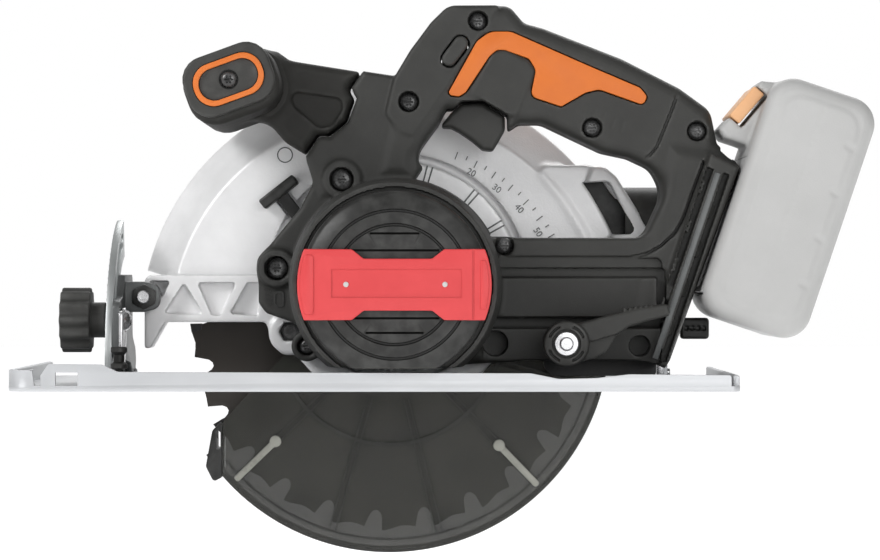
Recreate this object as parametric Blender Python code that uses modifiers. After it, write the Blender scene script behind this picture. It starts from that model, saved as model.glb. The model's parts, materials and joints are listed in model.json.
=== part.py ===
"""Cordless circular saw, modelled as an assembly of separate pieces.

Frame: +X runs from the nose to the battery, +Z is up, +Y is the blade side.
The origin lies on the sole, under the arbor, on the handle's mid-plane.
Outlines are written in millimetres; meshes are made in metres.
"""
import math

import bmesh
import bpy
from mathutils import Matrix, Vector

MM = 0.001
GAP = 0.3                      # air between pieces that touch

# Driving dimensions, in millimetres
ARBOR = (0.0, 24.0)            # blade axis, x and z
BLADE_Y = 48.0
BLADE_R = 92.0
BLADE_T = 2.0
TEETH = 24
GEAR_MODULE = 1.0
GEAR_TEETH = 35
PINION_TEETH = 9
MOTOR = (4.0, 45.63)           # motor axis, 22 mm from the arbor
BARREL_R = 46.0
HALF_WIDTH = 18.0              # handle half thickness
FOOT_HALF = 26.0
GUARD_FACE_R = 99.5
GUARD_R = 115.0
GUARD_NEAR = 24.0              # near face of the casting
GUARD_INNER = 34.5
GUARD_FAR = 68.0
LOWER_R = 101.4
HUB_R = 22.0
PIVOT = (-109.2, 40.0)         # depth pivot, x and z
DEPTH_BOLT = (78.0, 20.0)
DEPTH_RANGE = 19.0
BEVEL_AXIS = (48.0, 5.0)       # bevel axis, y and z
BEVEL_SLOT_R = 65.0
KNOB_AT = (-12.0, 29.9)        # bevel knob axis, y and z
BASE_FRONT = -161.6
BASE_REAR = 151.4
BASE_NEAR = -66.0
BASE_FAR = 84.0
SHEET = 2.5                    # base sheet thickness
LIP_T = 3.0                    # thickness of the base's raised lips
INSET = 0.06                   # keeps joined faces out of one plane
RAIL_ORIGIN = (138.9, 50.2)    # a point on the battery's front face
RAIL_TILT = math.radians(18.7)
FLAT_Z = 10.0                  # underside of the motor housing
COLLAR_Z = 3.3                 # underside of the gear case

SMALL = 12
ROUND = 24


def clear_scene():
    for item in list(bpy.data.objects):
        bpy.data.objects.remove(item)


def new_collection(name, hidden=False):
    made = bpy.data.collections.new(name)
    bpy.context.scene.collection.children.link(made)
    made.hide_render = hidden
    return made


clear_scene()
PARTS = new_collection("circular_saw")
CUTTERS = new_collection("cutters", hidden=True)
BODIES = {}


def material(name, colour, roughness, metallic=0.0):
    made = bpy.data.materials.new(name)
    made.use_nodes = True
    shader = made.node_tree.nodes["Principled BSDF"]
    shader.inputs["Base Color"].default_value = (*colour, 1.0)
    shader.inputs["Roughness"].default_value = roughness
    shader.inputs["Metallic"].default_value = metallic
    made.diffuse_color = (*colour, 1.0)
    return made


BLACK = material("black_plastic", (0.055, 0.055, 0.052), 0.6)
GRIP = material("grip_rubber", (0.07, 0.07, 0.066), 0.8)
ORANGE = material("orange_plastic", (0.9, 0.24, 0.05), 0.5)
RED = material("red_plastic", (0.86, 0.1, 0.11), 0.45)
CASTING = material("cast_aluminium", (0.68, 0.68, 0.69), 0.4, 1.0)
BASE_METAL = material("base_aluminium", (0.7, 0.7, 0.72), 0.4, 1.0)
STEEL = material("bright_steel", (0.55, 0.55, 0.56), 0.3, 1.0)
DARK_STEEL = material("dark_steel", (0.05, 0.05, 0.055), 0.45, 0.6)
SMOKE = material("smoked_plastic", (0.1, 0.1, 0.09), 0.25)
COATED = material("coated_steel", (0.05, 0.042, 0.036), 0.45, 0.3)
COPPER = material("winding", (0.6, 0.25, 0.1), 0.5, 0.6)
BOARD = material("circuit_board", (0.03, 0.2, 0.08), 0.6)
PALE = material("battery_grey", (0.6, 0.6, 0.6), 0.6)
CELL = material("cell_wrap", (0.1, 0.25, 0.5), 0.5)


# ---------------------------------------------------------------- helpers

def body(name, at):
    """A parent empty on a body's joint axis."""
    empty = bpy.data.objects.new(name + "_axis", None)
    empty.location = Vector(at) * MM
    empty.empty_display_size = 0.01
    PARTS.objects.link(empty)
    BODIES[name] = empty
    return empty


def place(obj, owner=None, mat=None):
    """Put a piece in the model, under its body's empty."""
    PARTS.objects.link(obj)
    if mat is not None:
        obj.data.materials.append(mat)
    if owner is not None:
        obj.parent = BODIES[owner]
        obj.location -= BODIES[owner].location
    return obj


def guide(obj):
    """Put a shape with the cutters, out of the model itself."""
    CUTTERS.objects.link(obj)
    obj.hide_render = True
    obj.display_type = "WIRE"
    return obj


def boolean(target, tool, operation):
    step = target.modifiers.new(tool.name, "BOOLEAN")
    step.operation = operation
    step.solver = "EXACT"
    step.object = tool


def cut(target, *tools):
    for tool in tools:
        boolean(target, tool, "DIFFERENCE")


def join(target, *tools):
    for tool in tools:
        boolean(target, tool, "UNION")


def merge_close(target):
    """Close the hair-thin slivers that cuts on nearly equal faces leave."""
    step = target.modifiers.new("merge", "WELD")
    step.merge_threshold = 0.00003


def bevel(target, width, angle=30):
    step = target.modifiers.new("edges", "BEVEL")
    step.width = width * MM
    step.segments = 1
    step.limit_method = "ANGLE"
    step.angle_limit = math.radians(angle)


def arc(centre, radius, start, end, steps):
    """Points of an arc, in degrees from +u towards +v."""
    points = []
    for k in range(steps + 1):
        angle = math.radians(start + (end - start) * k / steps)
        u = centre[0] + radius * math.cos(angle)
        v = centre[1] + radius * math.sin(angle)
        points.append((u, v))
    return points


def rounded(corners, steps=2):
    """An outline from (u, v) corners; a third value rounds the corner."""
    points = []
    for i, corner in enumerate(corners):
        here = Vector(corner[:2])
        if len(corner) == 2:
            points.append(tuple(here))
            continue
        radius = corner[2]
        before = (Vector(corners[i - 1][:2]) - here).normalized()
        after = (Vector(corners[(i + 1) % len(corners)][:2]) - here).normalized()
        half = before.angle(after) / 2
        centre = here + (before + after).normalized() * (radius / math.sin(half))
        first = here + before * (radius / math.tan(half)) - centre
        last = here + after * (radius / math.tan(half)) - centre
        for k in range(steps + 1):
            way = first.lerp(last, k / steps).normalized() * radius
            points.append(tuple(centre + way))
    return points


def box_corners(u0, v0, u1, v1, radius=0.0, steps=3):
    corners = [(u0, v0), (u1, v0), (u1, v1), (u0, v1)]
    if radius:
        corners = rounded([(u, v, radius) for u, v in corners], steps)
    return corners


def turned_about(points, centre, degrees):
    turn = Matrix.Rotation(math.radians(degrees), 2)
    middle = Vector(centre)
    return [tuple(middle + turn @ (Vector(p) - middle)) for p in points]


def rail(u, v):
    """x and z of a point given along the battery rail (u up, v rearward)."""
    x = RAIL_ORIGIN[0] + u * math.sin(RAIL_TILT) + v * math.cos(RAIL_TILT)
    z = RAIL_ORIGIN[1] + u * math.cos(RAIL_TILT) - v * math.sin(RAIL_TILT)
    return x, z


FACING = {
    "X": Matrix(((0, 0, 1), (1, 0, 0), (0, 1, 0))),    # u is y, v is z
    "Y": Matrix(((1, 0, 0), (0, 0, -1), (0, 1, 0))),   # u is x, v is z
    "Z": Matrix.Identity(3),                           # u is x, v is y
}


def slab(name, outline, low, high, facing="Y", holes=()):
    """A flat piece: an outline filled and extruded between two planes."""
    curve = bpy.data.curves.new(name, "CURVE")
    curve.dimensions = "2D"
    curve.fill_mode = "BOTH"
    curve.extrude = (high - low) / 2 * MM
    for loop in (outline, *holes):
        spline = curve.splines.new("POLY")
        spline.points.add(len(loop) - 1)
        for point, (u, v) in zip(spline.points, loop, strict=True):
            point.co = (u * MM, v * MM, 0, 1)
        spline.use_cyclic_u = True
    flat = bpy.data.objects.new(name + "_flat", curve)
    bpy.context.scene.collection.objects.link(flat)
    depth = bpy.context.evaluated_depsgraph_get()
    mesh = bpy.data.meshes.new_from_object(flat.evaluated_get(depth))
    bpy.data.objects.remove(flat)
    bpy.data.curves.remove(curve)
    weld(mesh)
    mesh.name = name
    mesh.transform(FACING[facing].to_4x4())
    made = bpy.data.objects.new(name, mesh)
    middle = (low + high) / 2 * MM
    made.location["XYZ".index(facing)] = middle
    return made


def weld(mesh):
    shape = bmesh.new()
    shape.from_mesh(mesh)
    bmesh.ops.remove_doubles(shape, verts=shape.verts, dist=0.000005)
    bmesh.ops.recalc_face_normals(shape, faces=shape.faces)
    shape.to_mesh(mesh)
    shape.free()


def turned(name, profile, at, axis="Y", steps=ROUND, ring=False):
    """A turned piece. The profile runs down its outer side, as (r, h)."""
    shape = bmesh.new()
    verts = [shape.verts.new((r * MM, 0, h * MM)) for r, h in profile]
    for first, second in zip(verts, verts[1:]):
        shape.edges.new((first, second))
    if ring:
        shape.edges.new((verts[-1], verts[0]))
    mesh = bpy.data.meshes.new(name)
    shape.to_mesh(mesh)
    shape.free()
    made = bpy.data.objects.new(name, mesh)
    screw = made.modifiers.new("turn", "SCREW")
    screw.steps = steps
    screw.render_steps = steps
    screw.use_merge_vertices = True
    screw.merge_threshold = 0.00001
    screw.use_smooth_shade = True
    made.location = Vector(at) * MM
    if axis == "Y":
        made.rotation_euler = (-math.pi / 2, 0, 0)
    if axis == "X":
        made.rotation_euler = (0, math.pi / 2, 0)
    return made


def drum(name, radius, low, high, at, axis="Y", steps=ROUND):
    """A plain cylinder from low to high along an axis through at."""
    return turned(name, [(0, high), (radius, high), (radius, low), (0, low)], at, axis, steps)


def ring(name, inner, outer, low, high, at, axis="Y", steps=ROUND):
    profile = [(inner, high), (outer, high), (outer, low), (inner, low)]
    return turned(name, profile, at, axis, steps, ring=True)


def sector(name, profile, centre, start, end, step=8.0):
    """A profile of (r, y) swept round a Y axis between two angles."""
    shape = bmesh.new()
    turn = math.radians(start)
    verts = []
    for r, y in profile:
        verts.append(shape.verts.new((r * math.cos(turn) * MM, y * MM, r * math.sin(turn) * MM)))
    edges = [shape.edges.new((a, b)) for a, b in zip(verts, verts[1:] + verts[:1])]
    count = max(2, round((end - start) / step))
    bmesh.ops.spin(shape, geom=verts + edges, axis=(0, -1, 0), cent=(0, 0, 0),
                   angle=math.radians(end - start), steps=count)
    bmesh.ops.holes_fill(shape, edges=shape.edges, sides=0)
    bmesh.ops.recalc_face_normals(shape, faces=shape.faces)
    mesh = bpy.data.meshes.new(name)
    shape.to_mesh(mesh)
    shape.free()
    made = bpy.data.objects.new(name, mesh)
    made.location = (centre[0] * MM, 0, centre[1] * MM)
    return made


def at_arbor(y=0.0):
    return (ARBOR[0], y, ARBOR[1])


def at_motor(y=0.0):
    return (MOTOR[0], y, MOTOR[1])


def screw_in(name, x, z, head_y, tip_y, owner=None):
    """A pan-head screw pointing along +Y."""
    profile = [(0, tip_y), (1.5, tip_y), (1.5, head_y + 3), (4, head_y + 3), (4, head_y + 1), (3, head_y)]
    profile.append((0, head_y))
    return place(turned(name, profile, (x, 0, z), steps=8), owner, DARK_STEEL)


# ---------------------------------------------------------------- bodies

body("blade_set", at_arbor(BLADE_Y))
body("rotor", at_motor())
body("lower_guard", at_arbor(40))
body("spindle_lock", (-48.2, 21.5, 85.7))
body("trigger", (28, 0, 121))
body("lock_off", (29.9, 0, 148.5))
body("battery", (rail(0, 0)[0], 0, rail(0, 0)[1]))
body("release", (rail(78, -7)[0], 0, rail(78, -7)[1]))
body("depth_frame", (PIVOT[0], 20, PIVOT[1]))
body("base", (-122, *BEVEL_AXIS))
body("bevel_knob", (-137, *KNOB_AT))
body("depth_lever", (DEPTH_BOLT[0], -44, DEPTH_BOLT[1]))
body("guide_screw", (-116.5, -35, 12))
body("hex_key", (137, 14, 26))


# ---------------------------------------------------------------- housing

# Where the front handle meets the housing
SEAM = [(-36.1, 102.3), (-30.3, 111), (-25.4, 111), (-17.4, 117.3), (-13.6, 128), (-16, 132.5),
        (-10.7, 140.1)]


def housing_outline():
    corners = [
        (3.2, 138.0, 3), (14.5, 153.0, 8), (27, 168.9, 10), (54, 169, 6), (60.5, 161.3, 3), (69, 159, 6),
        (103.7, 145.5, 30), (129.2, 132.5, 10), (143, 122.5, 8), (144.8, 106), (154.3, 99.5, 2),
        rail(49.2, 0), rail(-44, -2.5), (118, 10), (117, 12.1), (40.7, 12.1), (30, FLAT_Z),
        (-22, FLAT_Z), (-35, 26.4, 6), (-53.8, 33, 3), (-57, 37.5, 3), (-57, 57, 3), (-48, 69, 8),
        (-37.5, 79.5, 4), (-32.6, 91, 6),
    ]
    return rounded(corners) + SEAM


def hand_opening():
    corners = [
        (12.1, 101.2, 3), (23.3, 116.4, 3), (26.5, 123), (51.5, 118.5), (53, 112.5), (58.6, 116.3, 3),
        (68, 116.4, 5), (94.8, 103.7, 12), (106.5, 101.2, 6), (116.5, 96.5, 8), (122.5, 85.5, 9),
        (113.5, 66.9, 5), (45.3, 66.9),
    ]
    return rounded(corners) + arc(MOTOR, 47.4, 28, 80, 6)


def foot_outline():
    return [rail(51, -14), rail(49.5, 0), rail(-44, -2.5), rail(-44, -14)]


HOUSING_SCREWS = {
    "housing_screw_grip": (90, 114.6),
    "housing_screw_foot": (136.4, 113.4),
    "housing_screw_neck": (9.4, 126.6),
    "housing_screw_collar": (-19.8, 92.3),
    "housing_screw_rear": (51.8, 62.8),
    "housing_screw_front": (-48.5, 52.8),
}


def screw_cutters():
    made = []
    for name, (x, z) in HOUSING_SCREWS.items():
        profile = [(0, 12), (1.8, 12), (1.8, -11.5), (4.5, -11.5), (4.5, -30), (0, -30)]
        made.append(guide(turned(name + "_bore", profile, (x, 0, z), steps=8)))
    return made


def make_housing():
    outline = housing_outline()
    hand = hand_opening()
    near = slab("housing_left", outline, -HALF_WIDTH, -GAP / 2, holes=[hand])
    far = slab("housing_right", outline, GAP / 2, HALF_WIDTH, holes=[hand])
    place(near, None, BLACK)
    place(far, None, BLACK)

    barrel = [(0, -GAP / 2), (BARREL_R, -GAP / 2), (BARREL_R, -48), (41, -57.7), (0, -57.7)]
    join(near, guide(turned("barrel_near", barrel, at_motor())))
    join(far, guide(drum("barrel_far", BARREL_R, GAP / 2, 14, at_motor())))
    join(near, guide(slab("foot_near", foot_outline(), -FOOT_HALF, -GAP / 2)))
    join(far, guide(slab("foot_far", foot_outline(), GAP / 2, FOOT_HALF)))

    casting_room = guide(drum("casting_room", 53.5, 11.7, 40, at_motor()))
    motor_room = guide(drum("motor_room", 31, -70, 3, at_motor()))
    bearing_room = guide(drum("bearing_room", 11.2, 0, 20, at_motor(), steps=16))
    under = guide(slab("under_cut", box_corners(-70, -30, 42, FLAT_Z), -90, 60))
    switch_room = guide(slab("switch_room", rounded([
        (30, 128), (38, 121), (56, 121), (70, 138), (60, 150), (33, 157)]), -11, 11))
    trigger_room = guide(slab("trigger_room", [
        (21, 110), (25, 126), (32, 131), (50, 131), (58, 121), (57, 108), (46, 99), (38, 99)], -9.5, 9.5))
    lock_room = guide(slab("lock_room", lock_off_outline(0.4), -30, 30))
    board_room = guide(slab("board_room", box_corners(60, 37, 116, 60), -11, 11))
    wire_way = guide(slab("wire_way", [
        (66, 147), (62, 138), (95, 122), (122, 110), (112, 60), (120, 55), (132, 108), (126, 122)], -6, 6))
    bolt_way = guide(drum("bolt_way", 4.2, -30, 30, (DEPTH_BOLT[0], 0, DEPTH_BOLT[1]), steps=SMALL))
    shadow_gap = guide(slab("shadow_gap", rounded([
        (45, 26.3), (121.5, 26.3), (121.5, 31), (45, 31)]), -30, -11))
    neck_way = guide(slab("rail_neck", [
        rail(60, -4), rail(60, 5), rail(-40, 5), rail(-40, -4)], -10, 10))
    head_way = guide(slab("rail_head", [
        rail(60, -9.5), rail(60, -3.2), rail(-40, -3.2), rail(-40, -9.5)], -15, 15))
    key_room = guide(slab("key_room", box_corners(108, 20, 140, 31.5), 10, 40))
    arm_room = guide(slab("arm_room", box_corners(-62, 10, -38, 64), 12.7, 30))
    bridge_hole = guide(drum("bridge_hole", 5.5, -30, -8, (47.5, 0, 20), steps=SMALL))

    both = [motor_room, under, switch_room, trigger_room, lock_room, board_room, wire_way, bolt_way,
            neck_way, head_way, *screw_cutters()]
    cut(near, *both, shadow_gap, bridge_hole)
    cut(far, *both, casting_room, bearing_room, key_room, arm_room)
    merge_close(near)
    merge_close(far)


def lock_off_outline(grow=0.0):
    half, radius = 4.2, 3.3 + grow
    points = arc((half, 0), radius, -90, 90, 6) + arc((-half, 0), radius, 90, 270, 6)
    points = turned_about(points, (0, 0), 53)
    return [(29.9 + u, 148.5 + v) for u, v in points]


def grip_inlay_outline():
    return rounded([
        (27.3, 129.5, 3), (43.5, 154.2, 6), (56.2, 156.2, 6), (101, 134.8, 6), (114.5, 130, 2),
        (112.5, 123.5, 2), (101.5, 128, 3), (91, 131.5, 4), (74.5, 124, 4), (62.5, 129.5, 4),
        (66, 140, 4), (62, 144.5, 3), (51.5, 149.8, 4), (45, 148.5, 4), (35.5, 134, 5)], 2)


def make_grip_trim():
    outline = grip_inlay_outline()
    place(slab("grip_inlay_left", outline, -HALF_WIDTH - 1.5, -HALF_WIDTH - GAP), None, ORANGE)
    place(slab("grip_inlay_right", outline, HALF_WIDTH + GAP, HALF_WIDTH + 1.5), None, ORANGE)
    place(slab("lock_off_button", lock_off_outline(), -20, 20), "lock_off", BLACK)
    trigger = slab("trigger", rounded([
        (23.6, 115.8), (29, 123.6, 2), (34.4, 126.2, 2), (42.4, 125, 3), (51.8, 117.4, 1.5),
        (51.8, 111.5, 2), (46.8, 104.2, 1.5), (43.6, 103.9, 1.5), (39.3, 108.4, 6), (33.5, 114.4, 3),
        (29.1, 116.3, 2)]), -8.5, 8.5)
    bevel(trigger, 1.2)
    place(trigger, "trigger", BLACK)
    for name, (x, z) in HOUSING_SCREWS.items():
        screw_in(name, x, z, -15, 11.2)


def make_front_handle():
    arm = slab("front_handle", [
        (-58, 146), (-48.8, 147.6), (-43.9, 145), (-11.4, 139.9), (-16.5, 132.5), (-14.2, 128),
        (-17.9, 117.7), (-25.6, 111.5), (-30.6, 111.5), (-36.5, 102.9), (-45.7, 109), (-54.9, 120),
        (-62, 126)], -13, 13)
    bar = turned_about(box_corners(-20.5, -15, 20.5, 15, 11, 4), (0, 0), 20)
    bar = slab("front_bar", [(-67 + u, 132.3 + v) for u, v in bar], -47.5, 34)
    join(arm, guide(bar))
    place(arm, None, GRIP)
    cap = turned_about(box_corners(-19.5, -13.5, 19.5, 13.5, 10, 4), (0, 0), 20)
    cap = [(-67.8 + u, 134 + v) for u, v in cap]
    end = slab("front_handle_cap", cap, -51.5, -47.8)
    bevel(end, 1.0, 60)
    place(end, None, BLACK)
    outer = turned_about(box_corners(-15.5, -9.3, 15.5, 9.3, 9, 5), (0, 0), 20)
    inner = turned_about(box_corners(-13.2, -7, 13.2, 7, 6.8, 5), (0, 0), 20)
    shift = (-67.8, 134)
    outer = [(shift[0] + u, shift[1] + v) for u, v in outer]
    inner = [(shift[0] + u, shift[1] + v) for u, v in inner]
    place(slab("front_handle_ring", outer, -52.8, -51.8, holes=[inner]), None, ORANGE)


# ---------------------------------------------------------------- motor

def gear_outline(teeth, half_root, half_tip, first=0.0):
    """Straight-flanked teeth, thinned a little for backlash."""
    pitch_r = teeth * GEAR_MODULE / 2
    root = pitch_r - 1.05 * GEAR_MODULE
    tip = pitch_r + 0.72 * GEAR_MODULE
    pitch = 360 / teeth
    points = []
    for k in range(teeth):
        middle = first + k * pitch
        for share, radius in ((-half_root, root), (-half_tip, tip), (half_tip, tip), (half_root, root)):
            angle = math.radians(middle + share * pitch)
            points.append((radius * math.cos(angle), radius * math.sin(angle)))
    return points


def gear(name, teeth, centre, low, high, bore, owner, half_root, half_tip, first):
    outline = [(centre[0] + u, centre[1] + v) for u, v in gear_outline(teeth, half_root, half_tip, first)]
    hole = arc(centre, bore, 0, 345, 23)
    place(slab(name, outline, low, high, holes=[hole]), owner, STEEL)


def make_motor():
    shaft = [(0, 22.5), (2.2, 22.5), (2.2, 12), (4, 12), (4, -64.5), (0, -64.5)]
    place(turned("rotor_shaft", shaft, at_motor(), steps=SMALL), "rotor", STEEL)
    place(ring("rotor_core", 4.3, 19.6, -44, -10, at_motor()), "rotor", DARK_STEEL)
    fan = ring("fan", 4.3, 12, -7, -1, at_motor(), steps=16)
    for k in range(8):
        blade = slab(f"fan_blade_{k}", [(MOTOR[0] + u, MOTOR[1] + v) for u, v in turned_about(
            [(8, -1), (28, 3), (28, 4.6), (8, 1)], (0, 0), 45 * k)], -6.5, -1.5)
        join(fan, guide(blade))
    place(fan, "rotor", BLACK)
    place(ring("stator", 20.2, 30.6, -47, -9, at_motor()), None, COPPER)
    place(ring("motor_bearing_front", 4.3, 10.7, 3.3, 10.3, at_motor(), steps=16), None, STEEL)
    place(ring("motor_bearing_rear", 4.3, 9.4, -64, -58, at_motor(), steps=16), None, STEEL)
    line = math.degrees(math.atan2(MOTOR[1] - ARBOR[1], MOTOR[0] - ARBOR[0]))
    gear("output_gear", GEAR_TEETH, ARBOR, 14, 22, 8.2, "blade_set", 0.3, 0.1, line)
    gear("pinion", PINION_TEETH, MOTOR, 13.5, 22, 2.5, "rotor", 0.3, 0.1, line + 180 + 20)

    cap = [(0, -65), (9.7, -65), (9.7, -55.7), (30.3, -55.7), (30.3, -58), (40.3, -58), (40.3, -68),
           (37.5, -71), (27, -72), (0, -72)]
    cap = turned("motor_end_cap", cap, at_motor())
    cut(cap, guide(slab("cap_flat", box_corners(-40, -30, 48, FLAT_Z), -90, -40)))
    place(cap, None, BLACK)
    place(slab("motor_cover_band", band_outline(), -75.4, -72.3), None, RED)


def band_outline():
    """Ends follow the cap's rim; the sides are waisted."""
    right = arc((0, 0), 41, -21.5, 21.5, 4)
    left = arc((0, 0), 41, 158.5, 201.5, 4)
    top = [(21, 15), (16, 11), (-13, 11), (-18, 15)]
    bottom = [(-18, -15), (-13, -11), (16, -11), (21, -15)]
    points = right + top + left + bottom
    return [(MOTOR[0] + u, MOTOR[1] + v) for u, v in points]


# ---------------------------------------------------------------- casting

def arm_outline():
    corners = [(-110, 49, 3), (-44, 49), (-40, 60), (-36, 14), (-47.9, 14, 3), (-55.6, 28.6), (-100.5, 28.6),
               (-107.2, 16.8), (-110, 16.8)]
    return rounded(corners)


ARM_POCKETS = [
    [(-92.7, 47), (-101.6, 33.4), (-83.6, 32.4)],
    [(-86.4, 46.4), (-69.2, 46.4), (-76, 31.6), (-79.4, 31.6)],
    [(-64.4, 46.2), (-72, 32.6), (-60, 31.4)],
]


def chute_outline():
    return rounded([
        (74, 110), (79, 110), (90.4, 99.8, 2), (98.8, 99, 3), (119.5, 70, 3), (112, 52, 3), (98, 44)])


def make_casting():
    profile = [
        (20, GUARD_NEAR), (GUARD_FACE_R, GUARD_NEAR), (GUARD_R, 44), (GUARD_R, 65),
        (GUARD_R - 2.5, GUARD_FAR), (64, GUARD_FAR), (64, GUARD_FAR - 2.7),
        (GUARD_R - 3.5, GUARD_FAR - 2.7), (GUARD_R - 3.5, 46), (104, GUARD_INNER), (20, GUARD_INNER),
    ]
    guard = sector("upper_guard", profile, ARBOR, 5, 166)
    collar = guide(drum("collar", 53, 12, GUARD_INNER, at_motor(), steps=36))
    boss = guide(drum("boss", HUB_R, 20, 41.5, at_arbor()))
    arm = guide(slab("arm", arm_outline(), 13, 30))
    chute = guide(slab("chute", chute_outline(), 31, 62))
    join(guard, collar, boss, arm, chute)

    gear_room = guide(slab("gear_room", arc(MOTOR, 44, -66, 246, 26), 0, 24.6))
    under = guide(slab("collar_cut", box_corners(-50, -30, 60, COLLAR_Z), 0, 60))
    seat = [(0, 50), (9, 50), (9, 34.4), (15.4, 34.4), (15.4, 10), (0, 10)]
    seat = guide(turned("bearing_seat", seat, at_arbor()))
    pockets = [guide(slab(f"pocket_{i}", p, 0, 40)) for i, p in enumerate(ARM_POCKETS)]
    inside = sector("chute_inside", [(60, 37), (103, 37), (112, 47), (112, 60), (60, 60)], ARBOR, -2, 60)
    mouth = guide(slab("chute_mouth", [(82, 101), (97.5, 94), (115, 69.5), (109, 56), (90, 50)], 34, 59.5))
    window = guide(slab("chute_window", rounded([
        (87.6, 92.8, 2), (100.4, 92.8, 2), (113.7, 69.8, 2), (99.6, 69.8, 2)]), 20, 40))
    outlet = guide(drum("chute_outlet", 13.6, 90, 140, (0, 48, 73.5), axis="X"))
    low, high = quadrant_angles()
    room = [(180, 26.4), (196, 26.4), (196, 31.8), (180, 31.8)]
    room = guide(sector("quadrant_room", room, PIVOT, low - 14, high + 3.6, 4))
    lock_way = guide(slab("lock_way", lock_stem(3.4, 20, 80), 19.3, 30))
    pin_way = guide(drum("pin_way", 4.3, 0, 60, (PIVOT[0], 0, PIVOT[1]), steps=SMALL))
    cut(guard, gear_room, under, seat, *pockets, guide(inside), mouth, window, outlet, room, lock_way,
        pin_way)
    merge_close(guard)
    place(guard, None, CASTING)

    port = [(13.8, 141), (17.5, 141), (17.5, 121), (13.8, 121)]
    place(turned("dust_port", port, (0, 48, 73.5), "X", ring=True), None, BLACK)
    place(ring("spindle_bearing", 8.2, 15.1, 25.2, 34, at_arbor()), None, STEEL)


def lock_stem(half, inner, outer):
    """A bar pointing from the spindle lock's place at the arbor."""
    way = Vector((-0.616, 0.788))
    side = Vector((way.y, -way.x)) * half
    middle = Vector(ARBOR)
    near, far = middle + way * inner, middle + way * outer
    return [tuple(near + side), tuple(far + side), tuple(far - side), tuple(near - side)]


def make_spindle_lock():
    stem = slab("spindle_lock", lock_stem(2.9, 24, 80), 19.7, 23.5)
    bar = guide(slab("lock_bar", lock_stem(9.7, 78, 83), 14, 23.5))
    join(stem, bar)
    place(stem, "spindle_lock", BLACK)


# ---------------------------------------------------------------- blade set

def blade_outline():
    """Back, heel and gullet of each tooth, as turn from the tip and radius."""
    tooth = ((0, 1.0), (5.4, 0.976), (9.6, 0.987), (11.2, 0.912), (13.6, 0.9), (14.7, 0.93))
    pitch = 360 / TEETH
    points = []
    for k in range(TEETH):
        tip = -17 + k * pitch
        for turn, share in tooth:
            angle = math.radians(tip + turn)
            points.append((BLADE_R * share * math.cos(angle), ARBOR[1] + BLADE_R * share * math.sin(angle)))
    return points


def make_blade_set():
    half = BLADE_T / 2
    bore = arc(ARBOR, 8.2, 0, 337.5, 15)
    place(slab("blade", blade_outline(), BLADE_Y - half, BLADE_Y + half, holes=[bore]), "blade_set", COATED)
    place(ring("inner_flange", 8.2, 20, 42, 46.7, at_arbor()), "blade_set", STEEL)
    place(ring("outer_flange", 8.2, 18, 49.3, 52, at_arbor()), "blade_set", STEEL)
    spindle = [(0, 28), (4.2, 28), (4.2, 51), (7.9, 51), (7.9, 13), (0, 13)]
    place(turned("spindle", spindle, at_arbor(), steps=16), "blade_set", STEEL)
    bolt = [(0, 55), (10, 55), (10, 52.3), (3.9, 52.3), (3.9, 29), (0, 29)]
    bolt = turned("blade_bolt", bolt, at_arbor(), steps=16)
    hexagon = guide(slab("bolt_hex", arc(ARBOR, 7.5, 0, 300, 5), 54, 60))
    join(bolt, hexagon)
    place(bolt, "blade_set", DARK_STEEL)


def make_lower_guard():
    profile = [(HUB_R + 0.4, 38), (LOWER_R - 1.5, 38), (LOWER_R, 39.5), (LOWER_R, 58), (62, 58), (62, 56),
               (LOWER_R - 2.4, 56), (LOWER_R - 2.4, 40), (31, 40), (31, 41.2), (HUB_R + 0.4, 41.2)]
    guard = sector("lower_guard", profile, ARBOR, 186, 372)
    hub = guide(ring("guard_hub", HUB_R + 0.4, 31, 36, 41.2, at_arbor()))
    join(guard, hub)
    front = guide(slab("front_edge", [(-130, -76), (-33, 30), (-100, 60), (-180, 0)], 36.1 + 1.5, 70))
    corner = guide(slab("corner_edge", box_corners(-140, -60, -76.4, 40), 20, 80))
    cut(guard, front, corner)
    place(guard, "lower_guard", SMOKE)
    lip = [(-77.4, -17.5), (-81.6, -21.7), (-84.5, -38), (-81, -45), (-77, -43), (-77, -30)]
    lip = slab("guard_bumper", lip, 37.5, 58.5)
    cut(lip, guide(drum("tooth_path", 94, 45, 51, at_arbor(), steps=48)))
    place(lip, "lower_guard", BLACK)


def make_guard_spring():
    """A flat coil round the guard's hub boss."""
    curve = bpy.data.curves.new("guard_spring", "CURVE")
    curve.dimensions = "3D"
    curve.bevel_depth = 0.45 * MM
    curve.bevel_resolution = 1
    curve.use_fill_caps = True
    turns, per_turn = 1.6, 18
    count = int(turns * per_turn)
    spline = curve.splines.new("POLY")
    spline.points.add(count - 1)
    for k in range(count):
        angle = 2 * math.pi * k / per_turn
        radius = 24.0 + 1.4 * k / per_turn
        spline.points[k].co = (radius * math.cos(angle) * MM, 0, radius * math.sin(angle) * MM, 1)
    made = bpy.data.objects.new("guard_spring", curve)
    made.location = Vector(at_arbor(35.3)) * MM
    place(made, "lower_guard", STEEL)


# ---------------------------------------------------------------- base

def quadrant_angles():
    """Angles about the depth pivot of the ends of the depth slot."""
    low = math.degrees(math.atan2(DEPTH_BOLT[1] - PIVOT[1], DEPTH_BOLT[0] - PIVOT[0]))
    return low, low + DEPTH_RANGE + 0.6


def arc_slot(centre, radius, half, start, end, steps):
    outer = arc(centre, radius + half, start, end, steps)
    inner = arc(centre, radius - half, end, start, steps)
    tip = arc(centre, radius, end, end, 1)[0]
    tail = arc(centre, radius, start, start, 1)[0]
    round_end = arc(tip, half, end, end + 180, 5)[1:-1]
    round_start = arc(tail, half, start + 180, start + 360, 5)[1:-1]
    return outer + round_end + inner + round_start


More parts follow.
